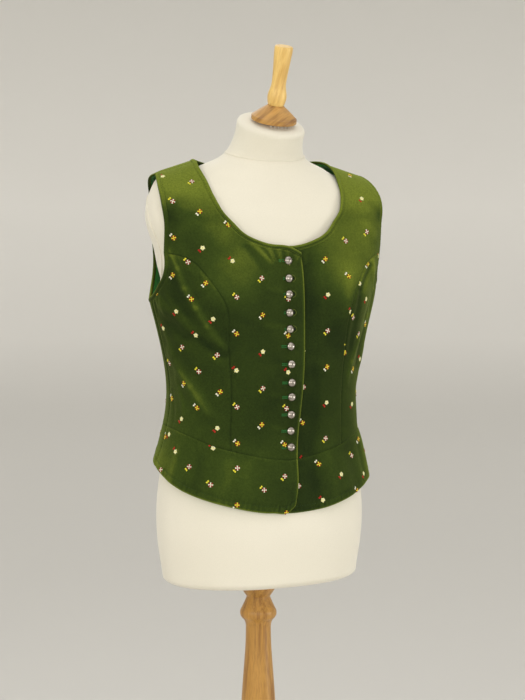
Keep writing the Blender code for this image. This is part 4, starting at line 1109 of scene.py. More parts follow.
EDGE_INSETS = {  # seams meet, and cloth tucks under its binding
    "seam": -0.1, "waist": -0.1, "bound": BINDING_WIDTH - 0.6, "free": 0.0, "hem": 0.0,
}  # fmt: skip
DEEPEST_TROUGH, LEAST_WALL = 2.6, 1.0
SLACK, SLACK_UP, SLACK_ACROSS = 0.22, 46, 58  # height and lengths of the cloth's slow unevenness
EDGE_TURN = 0.55
HIGHLIGHT_RIM_FROM = 0.2  # painted light from which the rim is finished in the lighter velvet, a painted highlight
CREASE_PAINTED_LIGHT, FOLD_PAINTED_LIGHT, OVERLAP_PAINTED_SHADOW = 0.14, 0.06, 0.18  # how much creases and folds paint light on ridges and shade in troughs, and the overlap paints shadow
pieces, CUTS, PLACES = {}, {}, {}
SHELLS = {}  # name of a piece: its grid of outer points in millimetres and its grid of places


def joints(runs):
    """Cells at which one run of an edge meets the next."""
    return np.cumsum([len(run) - 1 for run, _ in runs])[:-1].tolist()


def cloth(name, seed, factors, layer, bottom, right, top, left, shelf=None):
    """One piece of cloth, from four edges of (run, kind of edge), with its lining on the inner face."""
    sides = {"bottom": bottom, "right": right, "top": top, "left": left}
    inset_sides = {side: [(run, EDGE_INSETS[kind]) for run, kind in runs] for side, runs in sides.items()}
    PLACES[name] = panel_places(**inset_sides, shelf=shelf)
    breaks = [sorted({*joints(one), *joints(other)}) for one, other in ((left, right), (bottom, top))]
    fine = finer_both(PLACES[name], factors, *breaks)
    angle, level = fine[..., 0], fine[..., 1]
    flat_points = VEST.ring_point(angle, level)
    fine_sides = {
        side: [((len(run) - 1) * factors[side in ("bottom", "top")], kind) for run, kind in runs]
        for side, runs in sides.items()
    }
    height, painted_light_extra = lie_of_cloth(flat_points, fine_sides, seed)
    folds = creased(CREASES, angle, level)
    folds = np.where(folds < 0, DEEPEST_TROUGH * np.tanh(folds / DEEPEST_TROUGH), folds)
    height += folds
    height += SLACK * uneven(level, SLACK_UP, seed) * uneven(angle * DEGREE, SLACK_ACROSS, seed + 2)
    lies = layer(angle, level) if layer else 0.0
    # Painted light on ridges, painted shade in troughs, and the right front's shadow painted on the left
    # front.
    painted_light_extra += CREASE_PAINTED_LIGHT * folds + FOLD_PAINTED_LIGHT * creased(FOLDS, angle, level) + OVERLAP_PAINTED_SHADOW * lies / LAYER_DROP
    outer_points = VEST.point(angle, level, lies + height)
    inner_height = np.minimum(height - LEAST_WALL, np.maximum(0.8 * height, -0.3) - WALL)
    mesh, outer, inner, inner_faces = bent_grid(outer_points, VEST.point(angle, level, lies + inner_height))
    normals = np.cross(np.gradient(outer_points, axis=1), np.gradient(outer_points, axis=0))
    normals /= np.linalg.norm(normals, axis=-1, keepdims=True)
    cells = [outer.get(vert) or inner[vert] for vert in mesh.verts]
    vert_painted_light = {vert: painted_light_extra[cell] for vert, cell in zip(mesh.verts, cells)}
    rims = [face for face in mesh.faces if len({vert in outer for vert in face.verts}) == 2]
    for face in inner_faces:
        face.material_index = 1
    # Rims where the painted light is high get the lighter velvet: a painted highlight.
    for face in rims:
        face.material_index = 2 if max(vert_painted_light[vert] for vert in face.verts) > HIGHLIGHT_RIM_FROM else 0
    rim_edges = {edge for face in rims for edge in face.edges if len({v in outer for v in edge.verts}) == 1}
    # Painted light and shade on every vert of the piece.
    paint_light_and_shade(mesh, np.array(list(vert_painted_light.values())), np.array([normals[cell] for cell in cells]))
    bmesh.ops.bevel(
        mesh, geom=list(rim_edges), offset=EDGE_TURN * MM, segments=2, profile=0.5, affect="EDGES",
        material=-1, clamp_overlap=True,
    )  # fmt: skip
    pieces[name] = finish_piece(f"{name}_cloth", mesh, (velvet, lining_cloth, velvet_painted_highlight), nodes=[name])
    SHELLS[name] = (outer_points, fine)
    CUTS[name] = cut_of(flat_points)
    print(name, "cut (m), area (m2):", CUTS[name], "faces:", len(pieces[name].data.polygons))


# %% [markdown]
# ### The velvet pieces
#
# The right centre front ends in the buttonhole edge and laps over the left. Its edges are a seam, a
# bound neckline or armhole, a free turned edge or the hem, and each kind pulls the cloth differently.
# Below the waist seam hang the three pieces of the flared peplum.

# %% Lay out the pieces and make them
BODICE, BACK_FINE, PEPLUM = (8, 8), (7, 6), (12, 9)  # finer cells in each cell of the cut, up and across
PEPLUM_RIGHT, PEPLUM_BACK_RIGHT = on_right(PEPLUM_SIDE), on_right_back(PEPLUM_SIDE)
LAYOUT = {  # how fine, how it lies under another, then the bottom, right, top and left edge
    "front_centre_right": (
        BODICE, None, [(WAIST_RIGHT_CENTRE, "waist")], [(OVERLAP, "free"), (NECK_RIGHT, "bound")],
        [(on_right(SHOULDER)[::-1], "seam")], [(PRINCESS_RIGHT, "seam"), (on_right(ARM_FRONT), "bound")],
    ),
    "front_centre_left": (
        BODICE, under_overlap, [(WAIST_LEFT_CENTRE, "waist")], [(PRINCESS, "seam"), (ARM_FRONT, "bound")],
        [(SHOULDER, "seam")], [(UNDERLAP, "free"), (NECK_LEFT, "bound")],
    ),
    "front_side_right": (
        BODICE, None, [(WAIST_RIGHT_SIDE, "waist")], [(PRINCESS_RIGHT, "seam")],
        [(on_right(ARM_LOW)[::-1], "bound")], [(on_right(SIDE_SEAM), "seam")],
    ),
    "front_side_left": (
        BODICE, None, [(WAIST_LEFT_SIDE, "waist")], [(SIDE_SEAM, "seam")], [(ARM_LOW, "bound")],
        [(PRINCESS, "seam")],
    ),
    "back": (
        BACK_FINE, None, [(WAIST_BACK, "waist")],
        [(on_right_back(SIDE_SEAM), "seam"), (on_right_back(ARM_BACK), "bound")],
        [(SHOULDER[::-1], "seam"), (BACK_NECK, "bound"), (on_right_back(SHOULDER), "seam")],
        [(SIDE_SEAM, "seam"), (ARM_BACK, "bound")], BACK_SHELF,
    ),
    "peplum_front_right": (
        PEPLUM, None, [(hem_run(WAIST_RIGHT, PEPLUM_RIGHT[0], OVERLAP_PEPLUM[0]), "hem")],
        [(OVERLAP_PEPLUM, "free")], [(WAIST_RIGHT, "waist")], [(PEPLUM_RIGHT, "seam")],
    ),
    "peplum_front_left": (
        PEPLUM, under_overlap, [(hem_run(WAIST_LEFT, UNDERLAP_PEPLUM[0], PEPLUM_SIDE[0]), "hem")],
        [(PEPLUM_SIDE, "seam")], [(WAIST_LEFT, "waist")], [(UNDERLAP_PEPLUM, "free")],
    ),
    "peplum_back": (
        PEPLUM, None, [(hem_run(WAIST_BACK, PEPLUM_SIDE[0], PEPLUM_BACK_RIGHT[0]), "hem")],
        [(PEPLUM_BACK_RIGHT, "seam")], [(WAIST_BACK, "waist")], [(PEPLUM_SIDE, "seam")],
    ),
}  # fmt: skip
for seed, (name, layout) in enumerate(LAYOUT.items(), 1):
    cloth(name, seed, *layout)

# %% [markdown]
# ### The back lining
#
# The armholes and the back neck show a bright green lining a little inside the velvet. It is cut
# from the upper rows of the back and hangs a lining's gap behind it.

# %% Hang the back lining
LINING_FINE = (5, 4)
neck_columns = [COLUMNS_CENTRE, COLUMNS_CENTRE + COLUMNS_BACK_NECK]
lining = finer_both(PLACES["back"][ROW_LINING:], LINING_FINE, [ROWS_PRINCESS - ROW_LINING], neck_columns)
angle, level = lining[..., 0], lining[..., 1]
slack = 0.25 * uneven(level, 30, 3) * uneven(angle * DEGREE, 36, 5)
depth = WALL + LINING_GAP
faces = (VEST.point(angle, level, slack - depth - below) for below in (0, LINING_WALL))
mesh = bent_grid(*faces)[0]
pieces["lining_back"] = finish_piece("lining_back_cloth", mesh, (lining_cloth,), ["lining_back"])
CUTS["lining_back"] = cut_of(VEST.ring_point(angle, level))
print("lining_back cut (m), area (m2):", CUTS["lining_back"])

# %% [markdown]
# ### The bindings
#
# A folded strip of the same velvet finishes the neckline and each armhole. Its section is a low
# crowned roll, tucked under along the line where it is stitched to the cloth.


# %% Roll the bindings
def rolled(points, closed_along=False):
    """Closed bmesh from a grid of points: rows go along a strip, columns round its section."""
    mesh, cells = flat_grid(points.shape[0] - 1, points.shape[1] - 1)
    for vert, cell in cells.items():
        vert.co = points[cell] * MM
    bmesh.ops.remove_doubles(mesh, verts=mesh.verts, dist=1e-6)
    if not closed_along:
        bmesh.ops.holes_fill(mesh, edges=[edge for edge in mesh.edges if edge.is_boundary])
    bmesh.ops.recalc_face_normals(mesh, faces=mesh.faces)
    return mesh


# Across the strip and out of the cloth, once round.
BINDING_SECTION = (
    (0.0, -0.9), (0.15, -0.1), (0.75, 0.55), (1.7, 0.95), (2.9, 1.05), (4.1, 0.90), (5.1, 0.60),
    (5.55, 0.12), (6.0, 0.48), (6.7, 0.1), (7.15, -0.6), (7.15, -1.3), (6.4, -2.0), (4.6, -2.4),
    (2.6, -2.5), (1.0, -2.2), (0.2, -1.6), (0.0, -0.9),
)  # fmt: skip
SPINE, STITCHED = 4, 7  # columns of the section: the crown, and the line that is sewn down
BINDING_FINE, BINDING_FACE = 9, 0.0105
BINDING_PAINTED_LIGHT = 0.13  # painted light added over the whole binding


def binding(name, run, side, layers, joins, seed, before=None, after=None, closed=True):
    """Folded strip round a cut edge. side is 1 where the cloth lies left of the run's travel."""
    section = np.array(BINDING_SECTION)
    places = []
    for across in section[:, 0]:
        line = inset(run, before, after, [side * across] * len(run), closed)
        if closed:
            line = np.concatenate([line, line[:1]])
        line[:, 0] = np.degrees(np.unwrap(np.radians(line[:, 0])))
        places.append(finer(line, BINDING_FINE, joins))
    places = np.stack(places, 1)
    along = reach_along(VEST.ring_point(places[:, SPINE, 0], places[:, SPINE, 1]), 0)[:, None]
    heights = section[None, :, 1]
    wave = uneven(along, 9.5, seed) * 0.17 + uneven(along, 31, seed + 3) * 0.12
    if closed:
        wave = wave * np.clip(np.minimum(along, along[-1:] - along) / 8, 0, 1)
    heights = heights + bell(section[None, :, 0], 3, 2.4) * wave * (heights > -1.2)
    if layers:
        heights = heights + layers(places)
    strip = VEST.point(places[..., 0], places[..., 1], heights)
    strip[:, -1] = strip[:, 0]
    if closed:
        strip[-1] = strip[0]
    mesh = rolled(strip, closed_along=closed)
    # Painted light and shade on the binding, with extra painted light over it.
    paint_light_and_shade(mesh, BINDING_PAINTED_LIGHT)
    made = pieces[name] = finish_piece(f"{name}_cloth", mesh, (velvet,), nodes=[name])
    one_face = sum(face.area for face in made.data.polygons) / 2
    CUTS[name] = ((float(along[-1, 0]) * MM, BINDING_FACE), one_face)
    print(f"{name}: {along[-1, 0]:.0f} mm long, {len(made.data.polygons)} faces")
    return places, heights


def neck_layers(places):
    """The left half of the neck binding sinks under the right front's end with its own front."""
    rows = np.arange(len(places)) / BINDING_FINE
    left_start = len(NECK_RIGHT) + len(BACK_NECK) - 3
    return ramp(rows, left_start, left_start + 1)[:, None] * under_overlap(places[..., 0], places[..., 1])


neck_run = chain(NECK_RIGHT, BACK_NECK[::-1], NECK_LEFT[::-1])
neck_joins = [ROWS_NECK, ROWS_NECK + COLUMNS_BACK_NECK]
arm_run = chain(ARM_LOW, ARM_BACK, ARM_FRONT[::-1])[:-1]
arm_joins = [COLUMNS_SIDE, COLUMNS_SIDE + ROWS_ARM_BACK]
ends = (OVERLAP[-2], 0), (UNDERLAP[-2], 0)
bands = [
    binding("binding_neck", neck_run, 1, neck_layers, neck_joins, 11, *ends, closed=False),
    binding("binding_armhole_left", arm_run, -1, None, arm_joins, 12),
    binding("binding_armhole_right", on_right(arm_run), 1, None, arm_joins, 13),
]

# %% [markdown]
# ## The dress form
#
# The form is one closed body under jersey. Two cords mark its seams: one round the base of the neck
# and an oval on each side, where an arm would be.

# %% Make the form's body
TORSO_COLUMNS, RING_STEP = 144, 7
HOLLOW = -10  # depth of the form behind each underarm
CORD_RADIUS, CORD_STEPS = 0.9, 96
ARM_SEAM_Y, ARM_SEAM_Z, ARM_SEAM_WIDE, ARM_SEAM_TALL = 20, 1300, 45, 82
ring_levels = [ring[0] for ring in TORSO_RINGS]
levels = []
for low, high in zip(ring_levels, ring_levels[1:]):
    levels.extend(np.linspace(low, high, max(2, math.ceil((high - low) / RING_STEP)) + 1)[:-1])
levels.append(ring_levels[-1])
angle, level = np.meshgrid(np.linspace(0, 360, TORSO_COLUMNS + 1), np.array(levels))
pulled = np.minimum(0.10 * uneven(level, 60, 2) * uneven(angle * DEGREE, 70, 4), 0.05) - 0.05
behind_arm = bell(np.abs((angle + 180) % 360 - 180), 112, 24) * bell(level, 1246, 24)
form_points = TORSO.point(angle, level, pulled + HOLLOW * behind_arm)
form_points[:, -1] = form_points[:, 0]
form_mesh = rolled(form_points)


def cord(mesh, places, sunk):
    """Add a closed cord that follows places on the form."""
    normal = TORSO.normal(places[:, 0], places[:, 1])
    centre = TORSO.point(places[:, 0], places[:, 1], CORD_RADIUS - sunk)
    ahead = np.roll(centre, -1, 0) - np.roll(centre, 1, 0)
    beside = np.cross(ahead / np.linalg.norm(ahead, axis=1, keepdims=True), normal)
    turn = np.linspace(0, math.tau, 9)[None, :, None]
    ring = centre[:, None] + CORD_RADIUS * (np.cos(turn) * normal[:, None] + np.sin(turn) * beside[:, None])
    ring[:, -1] = ring[:, 0]
    made = rolled(np.concatenate([ring, ring[:1]]), closed_along=True)
    kept = bpy.data.meshes.new("cord")
    made.to_mesh(kept)
    made.free()
    mesh.from_mesh(kept)
    bpy.data.meshes.remove(kept)


turn = np.linspace(0, math.tau, CORD_STEPS + 1)[:-1]
cord(form_mesh, np.stack([np.degrees(turn), np.full(CORD_STEPS, NECK_BASE_LEVEL)], 1), 0.55)
for side in (1, -1):
    places = [(side * 90.0, 1300.0)]
    for at in turn:
        y, z = ARM_SEAM_Y + ARM_SEAM_WIDE * math.cos(at), ARM_SEAM_Z + ARM_SEAM_TALL * math.sin(at)
        places.append(TORSO.find(y, z, (1, 2), places[-1]))
    cord(form_mesh, np.array(places[1:], float), 0.5)
finish_piece("form_body", form_mesh, (jersey_cloth,), ["torso"])
print("form: rings", len(levels), "of", TORSO_COLUMNS, "columns")

# %% [markdown]
# ### The turned wood
#
# Cap, handle, column and base come off a lathe, so each is a profile spun round its axis.


# %% Turn the wood
def turned(name, profile, breaks, foot, tilt, material, cad_node, steps=96):
    """Profile of (radius, height) in millimetres, smoothed between its breaks and spun."""
    line = finer(np.array(profile, float), 4, breaks)
    line[:, 0] = np.maximum(line[:, 0], 0)
    mesh = spun(line * MM, steps)
    placed = Matrix.Translation(Vector(foot) * MM) @ Matrix.Rotation(math.radians(tilt), 4, "X")
    bmesh.ops.transform(mesh, matrix=placed, verts=mesh.verts)
    made = finish_piece(name, mesh, (material,), [cad_node])
    print(f"{name}: {len(made.data.polygons)} faces")


r, foot, rim = CAP_RADIUS, CAP_LIFT, CAP_LIFT + CAP_RIM
top = rim + CAP_CONE
turned(
    "wood_cap",
    ((0, top), (12, top), (12.6, top - 0.2), (13, top - 0.8), (22, rim + 9.4), (r - 2, rim + 1),
     (r - 0.4, rim - 0.1), (r, rim - 1.2), (r, foot + 1.4), (r - 0.4, foot + 0.4), (r - 1.3, foot),
     (CAP_SPIGOT, foot), (CAP_SPIGOT, 0), (0, 0)),
    [1, 3, 5, 7, 8, 10, 11, 12], CAP_FOOT, CAP_TILT, cap_wood, "neck_cap",
)  # fmt: skip
lean = math.radians(CAP_TILT)
cap_axis = np.array([0, -math.sin(lean), math.cos(lean)])
handle_foot = np.array(CAP_FOOT) + (top + SEAM_GAP) * cap_axis
h = HANDLE_LENGTH
turned(
    "wood_handle",
    ((0, h), (11.2, h), (12.6, h - 0.5), (13.4, h - 2), (13.6, h - 6.5), (13.2, h - 13.5), (12.3, h - 25),
     (11.4, h - 37), (10.8, h - 48), (10.8, h - 57), (12.2, h - 65), (13.7, h - 71), (14.1, h - 76.5),
     (13.4, h - 82), (12, 1), (11.2, 0), (0, 0)),
    [1, 15], handle_foot, HANDLE_TILT, handle_wood, "handle",
)  # fmt: skip
turned("wood_column", COLUMN_PROFILE, [1, 2, 21, 29, 30], (0, 0, 0), 0, stand_wood, "column")
r, h = BASE_RADIUS, BASE_HEIGHT
turned(
    "wood_base",
    ((0, h), (46, h), (49.5, h - 0.6), (52, h - 3), (120, h - 6), (r - 14, h - 9), (r - 4, h - 14),
     (r - 0.6, h - 19), (r, h - 23), (r, 4), (r - 0.8, 1.2), (r - 3, 0), (0, 0)),
    [1, 3, 4, 5, 8, 9, 11], (0, 0, 0), 0, board_wood, "base", steps=128,
)  # fmt: skip

# %% [markdown]
# ## Threads and flowers
#
# Every stitch is the same small strand, half a rod with rounded ends. Strands of one piece of cloth
# are set out in arrays and joined in one mesh, each laid on the cloth below it.


# %% The strand and how many are laid at once
def strand_shape():
    """Half a rod along X, from -0.5 to 0.5, one wide and one high, from a cut and scaled ball."""
    mesh = bmesh.new()
    bmesh.ops.create_uvsphere(mesh, u_segments=8, v_segments=4, radius=0.5)
    bmesh.ops.rotate(mesh, verts=mesh.verts, matrix=Matrix.Rotation(math.pi / 2, 3, "Y"))
    for vert in mesh.verts:
        vert.co.x = math.copysign(abs(vert.co.x * 2) ** 0.6 / 2, vert.co.x)
        vert.co.z = max(vert.co.z, -0.12) + 0.12
    bmesh.ops.remove_doubles(mesh, verts=mesh.verts, dist=0.02)
    data = bpy.data.meshes.new("strand")
    mesh.to_mesh(data)
    mesh.free()
    corners = np.zeros((len(data.vertices), 3))
    data.vertices.foreach_get("co", corners.ravel())
    faces = [tuple(face.vertices) for face in data.polygons]
    bpy.data.meshes.remove(data)
    return corners, faces


STRAND, STRAND_FACES = strand_shape()


class Threads:
    """Strands collected for one object."""

    def __init__(self):
        self.rows = []

    def add(self, start, end, normal, width, height, colour):
        """One strand, in millimetres, from start to end on a normal."""
        self.rows.append((start, end, normal, width, height, THREAD_ORDER.index(colour)))

    def object(self, name):
        """One object with every strand collected."""
        start, end, normal, width, height, index = (np.array(column) for column in zip(*self.rows))
        along = end - start
        beside = np.cross(normal, along)
        beside /= np.linalg.norm(beside, axis=1, keepdims=True)
        out = np.cross(along, beside)
        out /= np.linalg.norm(out, axis=1, keepdims=True)
        x, y, z = STRAND.T
        points = (
            ((start + end) / 2)[:, None]
            + x[None, :, None] * along[:, None]
            + (y[None, :] * width[:, None])[..., None] * beside[:, None]
            + (z[None, :] * height[:, None])[..., None] * out[:, None]
        )
        data = bpy.data.meshes.new(name)
        faces = [tuple(v + k * len(STRAND) for v in face) for k in range(len(start)) for face in STRAND_FACES]
        data.from_pydata((points.reshape(-1, 3) * MM).tolist(), [], faces)
        data.polygons.foreach_set("material_index", np.repeat(index, len(STRAND_FACES)))
        for thread in THREAD_ORDER:
            data.materials.append(THREADS[thread])
        data.shade_smooth()
        made = bpy.data.objects.new(name, data)
        scene.collection.objects.link(made)
        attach(made, "root")
        print(f"{name}: {len(start)} strands, {len(faces)} faces")


print("strand:", len(STRAND), "points,", len(STRAND_FACES), "faces")


# %% Cloth below a stitch
def tree_of(points):
    """Search tree over the outer face of a piece of cloth, in millimetres."""
    rows, columns = points.shape[:2]
    number = np.arange(rows * columns).reshape(rows, columns)
    quads = np.stack([number[:-1, :-1], number[:-1, 1:], number[1:, 1:], number[1:, :-1]], -1).reshape(-1, 4)
    return BVHTree.FromPolygons(points.reshape(-1, 3).tolist(), quads.tolist())


TREES = {name: tree_of(points) for name, (points, _) in SHELLS.items()}
SEARCH, STITCH_REACH, MOTIF_REACH = 12, 1.5, 8.5


def laid_on(name, angle, level, reach=STITCH_REACH):
    """Point and normal at a place on a piece of cloth, or None where no cloth lies within reach."""
    point = VEST.point(angle, level)
    if name.endswith("left"):
        point = VEST.point(angle, level, under_overlap(np.array(angle), np.array(level)))
    found, normal, _, _ = TREES[name].find_nearest(Vector(point), SEARCH)
    if found is None:
        return None
    outward = Vector(VEST.normal(angle, level))
    side = found - Vector(point)
    side -= outward * side.dot(outward)
    if side.length > reach:
        return None
    if normal.dot(outward) < 0:
        normal.negate()
    return np.array(found - side), np.array(normal)


print("pieces of cloth to stitch on:", list(TREES))

# %% [markdown]
# ## The flowers
#
# The velvet carries one small motif over and over: a round flower of petals in two colours with a
# bud beside it, on the slant. Down each column the colours come in turn, yellow, white and red, and
# the slant changes from column to column.

# %% Set out the columns of motifs
# For each piece, "x" where a column is given by X in millimetres and "a" where by angle. Each column:
# its place at level 1300, the same at level 1000, a level that holds a motif, the slant (UL has the
# bud upper left) and that motif's colour turn.
PITCH = 53.3
TURNS = "YWR"  # going down
FRONT_COLUMNS = {
    ("front_centre_right", "x"): (
        (2, -10, 1281.5, "UL", "R"), (-43, -46, 1260, "LL", "Y"), (-88, -81, 1284.5, "UL", "R"),
        (-130, -130, 1303.5, "LL", "R"), (-167, -169, 1319, "UL", "W"),
    ),
    ("front_centre_left", "x"): (
        (22, 22, 1099.5, "UL", "Y"), (62, 60, 1286.7, "LL", "W"), (99.5, 98, 1261, "UL", "W"),
        (140, 140, 1331, "LL", "Y"),
    ),
    ("front_side_right", "a"): (
        (-40, -40.5, 1253.8, "LL", "W"), (-46, -57.5, 1283, "UL", "Y"), (-55.6, -70.7, 1265, "LL", "W"),
        (-75, -90, 1238, "UL", "W"),
    ),
    ("front_side_left", "a"): (
        (38.5, 31, 1199, "UL", "Y"), (43, 48, 1278.6, "LL", "W"), (58, 60, 1290, "UL", "R"),
        (72, 74, 1262, "LL", "Y"), (86, 88, 1232, "UL", "W"),
    ),
    ("peplum_front_right", "a"): (
        (0, -3, 971, "LL", "Y"), (-14.5, -14.5, 953, "UL", "Y"), (-28, -28, 985.6, "LL", "Y"),
        (-41.4, -41.4, 1014.5, "UL", "R"), (-55, -55, 987, "LL", "Y"), (-68, -68, 1006.8, "UL", "R"),
        (-81, -81, 977.8, "LL", "Y"), (-87.5, -87.5, 1024.8, "UL", "W"),
    ),
    ("peplum_front_left", "a"): (
        (4.6, 4.6, 956, "LL", "Y"), (17, 17, 985, "UL", "W"), (30.2, 30.2, 967, "LL", "R"),
        (42, 42, 991.7, "UL", "Y"), (52.4, 52.4, 1013.8, "LL", "W"), (63, 63, 990, "UL", "R"),
        (75, 75, 1010, "LL", "Y"), (86, 86, 985, "UL", "W"),
    ),
}  # fmt: skip
BACK_SPACING = 41.5


def back_columns():
    """Columns round the back, at equal distances on the level of the blades."""
    angles = np.linspace(90, 270, 721)
    reach = reach_along(VEST.ring_point(angles, np.full(721, 1150.0)), 0)
    count = int(reach[-1] // BACK_SPACING)
    start = (reach[-1] - (count - 1) * BACK_SPACING) / 2
    for k in range(count):
        angle = float(np.interp(start + k * BACK_SPACING, reach, angles))
        slant, colour, level, peplum_level = ("LL", "Y", 1260, 990) if k % 2 else ("UL", "R", 1285, 975)
        yield "back", "a", angle, angle, level, slant, colour
        yield "peplum_back", "a", angle, angle, peplum_level, slant, colour


MOTIF_COLUMNS = [(*key, *column) for key, columns in FRONT_COLUMNS.items() for column in columns]
MOTIF_COLUMNS += back_columns()


def motif_places(name, kind, at_top, at_low, level_of_one, colour):
    """(angle, level, colour turn) of each motif of a column, a pitch apart along the cloth."""
    levels = np.arange(1480.0, 890.0, -1.0)
    across = at_top + (at_low - at_top) * np.clip((1300 - levels) / 300, -0.4, 1.2)
    angles, valid = across, np.ones(len(levels), bool)
    if kind == "x":
        grid = np.linspace(-93, 14.75, 432) if name.endswith("right") else np.linspace(-14.75, 93, 432)
        xs = VEST.ring_point(*np.meshgrid(grid, levels))[..., 0]
        angles = np.array([np.interp(a, row, grid) for a, row in zip(across, xs)])
        valid = np.abs(np.array([np.interp(g, grid, row) for g, row in zip(angles, xs)]) - across) < 1
    reach = reach_along(VEST.ring_point(angles, levels), 0)
    origin = float(np.interp(-level_of_one, -levels, reach))
    first = TURNS.index(colour)
    for k in range(-8, 9):
        at = origin + k * PITCH
        if 0 < at < reach[-1] and valid[int(np.searchsorted(reach, at))]:
            angle, level = float(np.interp(at, reach, angles)), float(np.interp(at, reach, levels))
            yield angle, level, TURNS[(first + k) % 3]


print("columns of motifs:", len(MOTIF_COLUMNS))

# %% [markdown]
# Each motif is drawn flat, as stitches with a start and an end, then every stitch end is laid on the
# cloth. A stitch that would miss its piece is left out, as a motif cut by a seam is.

# %% Draw the motif
FLOWER_COLOURS = {  # petals and their colour, the colour between them and how far it reaches, heart
    "Y": (4, "cream", "dark_red", 3.9, "cream"),
    "W": (4, "yellow", "dark_red", 3.9, "yellow"),
    "R": (5, "lemon", "cream", 2.9, "yellow"),
}
BUD_COLOURS = {"Y": "yellow", "W": "cream", "R": "red"}
BUD_OFFSET, PETAL_REACH = 6.2, 3.85
BETWEEN_WIDTHS = 11.6  # widths of all stitches between petals together


def spoke(turn, start, end, start_turn=None):
    """Ends of a stitch that runs outwards from near the flower's centre."""
    first = turn if start_turn is None else start_turn
    return start * math.cos(first), start * math.sin(first), end * math.cos(turn), end * math.sin(turn)


def motif_stitches(slant, colour, chance):
    """Stitches of one motif: (x0, y0, x1, y1, width, height, colour), flower centre at the origin."""
    count, petals, between, between_reach, heart = FLOWER_COLOURS[colour]
    stitches = []
    tilt = chance.uniform(-0.35, 0.35)
    for k in range(count):
        ends = spoke(tilt + (k + 0.5) * math.tau / count, 0.8, between_reach * chance.uniform(0.94, 1.06))
        stitches.append((*ends, BETWEEN_WIDTHS / count, 1.5, between))
    for k in range(count):
        turn = tilt + k * math.tau / count
        for lean in (-0.14, 0.14):
            ends = spoke(turn + lean, 0.5, PETAL_REACH * chance.uniform(0.92, 1.05), turn + 3 * lean)
            stitches.append((*ends, 1.2, 1.3, petals))
    for turn in (0.3, 1.9):
        stitches.append((*spoke(turn, -0.9, 0.9), 0.9, 1.6, heart))
    up = 1 if slant == "UL" else -1
    for offset in (-1.4, 1.35):
        for side in (-0.5, 0.5):
            ends = []
            for along, spread in ((-1.35, 0.85), (chance.uniform(1.3, 1.7), 1.15)):
                across, away = spread * (offset + side), BUD_OFFSET + along
                ends.extend((-0.72 * away + 0.69 * across, up * (0.69 * away + 0.72 * across)))
            stitches.append((*ends, 1.5, 1.15, BUD_COLOURS[colour]))
    return stitches


# %% Stitch it everywhere
LAID_WITHIN, SLIP, SUNK = 6, 0.6, 0.05


def stitched_end(name, spot, normal):
    """Where a stitch's end lies on the cloth, or None where it would miss it."""
    found = TREES[name].find_nearest(Vector(spot), LAID_WITHIN)[0]
    if found is None:
        return None
    away = np.array(found) - spot
    slip = np.linalg.norm(away - (away @ normal) * normal)
    return np.array(found) - SUNK * normal if slip < SLIP and away[:2] @ normal[:2] < 3 else None


def stitch_motif(threads, name, point, normal, slant, colour):
    """One motif on a piece of cloth, in the plane that touches it at the point."""
    across = np.cross((0, 0, 1.0), normal)
    across /= np.linalg.norm(across)
    up = np.cross(normal, across)
    for x0, y0, x1, y1, *size, thread in motif_stitches(slant, colour, chance):
        start = stitched_end(name, point + x0 * across + y0 * up, normal)
        end = stitched_end(name, point + x1 * across + y1 * up, normal)
        if start is not None and end is not None:
            threads.add(start, end, normal, *size, thread)


chance = np.random.default_rng(7)
motif_count = 0
for name in SHELLS:
    threads = Threads()
    for piece, *column, slant, first_colour in MOTIF_COLUMNS:
        for angle, level, colour in motif_places(name, *column, first_colour) if piece == name else ():
            middle = laid_on(name, angle, level, MOTIF_REACH)
            if middle is not None:
                motif_count += 1
                stitch_motif(threads, name, *middle, slant, colour)
    if threads.rows:
        threads.object(f"flowers_{name}")
print("motifs:", motif_count)

# %% [markdown]
# ## Buttons and buttonholes
#
# Twelve domed metal buttons close the front. Each sits at the end of a buttonhole worked in lighter
# green thread. Where a button pulls, the hole gapes beside it, and a dark strand paints the shadow in the
# gap.

# %% Turn the buttons
BUTTON_PROFILE = (
    (0, 5.9), (1.6, 5.75), (3.0, 5.3), (4.2, 4.6), (5.2, 3.65), (5.9, 2.7), (6.3, 1.9), (6.35, 1.4),
    (5.8, 0.9), (3.6, 0.3), (0, 0.3),
)  # fmt: skip
BUTTON_STEPS, BUTTON_TURN = 60, 0.37
for number, level in enumerate(BUTTON_HEIGHTS, 1):
    place = front_places([(0.0, level)], 1)[0]
    mesh = spun(np.array(BUTTON_PROFILE) * MM, BUTTON_STEPS)
    facing = Vector(VEST.normal(*place)).to_track_quat("Z", "Y").to_matrix().to_4x4()
    lifted = Matrix.Translation(Vector(VEST.point(*place, out=BUTTON_LIFT)) * MM)
    turned_by = Matrix.Rotation(BUTTON_TURN * number, 4, "Z")
    bmesh.ops.transform(mesh, matrix=lifted @ facing @ turned_by, verts=mesh.verts)
    finish_piece(f"silver_button_{number:02}", mesh, (silver,), [f"button_{number:02}"])
print("buttons:", len(BUTTON_HEIGHTS))

# %% Work the buttonholes
GAPING = (2, 3, 4, 5)
WHOLE_HOLE, PULLED_HOLE, HOLE_STEP = (-14.5, 1.0), (-8.6, -5.0), 0.52  # X of start and end, and of a stitch
holes = Threads()


def on_front(x, z):
    """Point and normal on the right front at X and Z."""
    return laid_on("front_centre_right", *front_places([(x, z)], 1)[0])


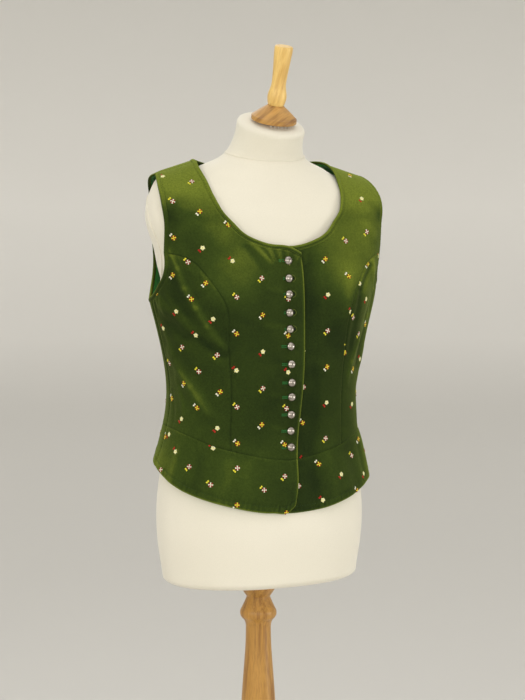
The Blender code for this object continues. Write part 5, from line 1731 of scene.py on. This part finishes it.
for number, level in enumerate(BUTTON_HEIGHTS, 1):
    for x in np.arange(*(PULLED_HOLE if number in GAPING else WHOLE_HOLE), HOLE_STEP):
        for up in (1, -1):
            ends = []
            for dz in (0.18, 2.15 + chance.uniform(-0.2, 0.15)):
                ends.append(on_front(x + chance.uniform(-0.06, 0.06), level + up * dz))
            if ends[0] is not None and ends[1] is not None:
                holes.add(ends[0][0], ends[1][0], ends[0][1], 0.62, 0.75, "hole")
    if number in GAPING:
        turns = np.linspace(-1.35, 1.35, 10)
        ring = [on_front(4.6 + 6.8 * math.cos(turn), level + 5.2 * math.sin(turn)) for turn in turns]
        for (start, normal), (end, _) in zip(ring, ring[1:]):
            holes.add(start, end + 0.3 * (end - start), normal, 1.1, 0.9, "olive")
        # A near-black strand beside the button paints the shadow in the gap of the hole.
        (low, normal), (high, _) = on_front(7.9, level - 2.0), on_front(7.9, level + 1.6)
        holes.add(low, high, normal, 3.0, 0.6, "shade")
holes.object("buttonholes")

# %% [markdown]
# ## Stitching
#
# A running stitch holds each binding down beside the cloth, and one row holds the hem. White tacks
# hold the jersey under the cap's front edge.

# %% Stitch the bindings and the hem
HEM_STITCHED = 9.5  # distance of the row from the hem
sewing = Threads()


def running_stitch(line, normals, first, before_end, step, length, width, height):
    """Row of stitches along a line of points, a step apart."""
    reach = reach_along(line, 0)
    for at in np.arange(first, reach[-1] - before_end, step):
        start, end = (np.array([np.interp(at + d, reach, line[:, k]) for k in range(3)]) for d in (0, length))
        row = min(int(np.searchsorted(reach, at)), len(normals) - 1)
        sewing.add(start, end, normals[row], width, height, "sewing")


for places, heights in bands:
    angle, level = places[:, STITCHED, 0], places[:, STITCHED, 1]
    line = VEST.point(angle, level, heights[:, STITCHED])
    running_stitch(line, VEST.normal(angle, level), 2.0, 3, 4.1, 2.7, 0.5, 0.5)
for name in ("peplum_front_right", "peplum_front_left", "peplum_back"):
    points, places = SHELLS[name]
    up = reach_along(points, 0)
    columns = range(points.shape[1])
    line = np.array([[np.interp(HEM_STITCHED, up[:, c], points[:, c, k]) for k in range(3)] for c in columns])
    running_stitch(line, VEST.normal(places[6, :, 0], places[6, :, 1]), 3.0, 4, 4.4, 2.6, 0.45, 0.4)
for turn in np.linspace(-2.1, -1.1, 7):
    outward = np.array([math.cos(turn), math.sin(turn) * math.cos(lean), math.sin(turn) * math.sin(lean)])
    spot = np.array(CAP_FOOT) + 33.0 * outward
    sewing.add(spot + 3.1 * cap_axis, spot + 0.3 * cap_axis + 0.6 * outward, outward, 1.7, 0.8, "white")
sewing.object("stitching")

# %% [markdown]
# ## The cut sizes
#
# The size each piece of cloth was cut to is kept. For each piece, the smaller of its area and its
# cut size is worked out, and the scene is finished.

for name, (cut, area) in CUTS.items():
    min(area, 0.999 * cut[0] * cut[1])
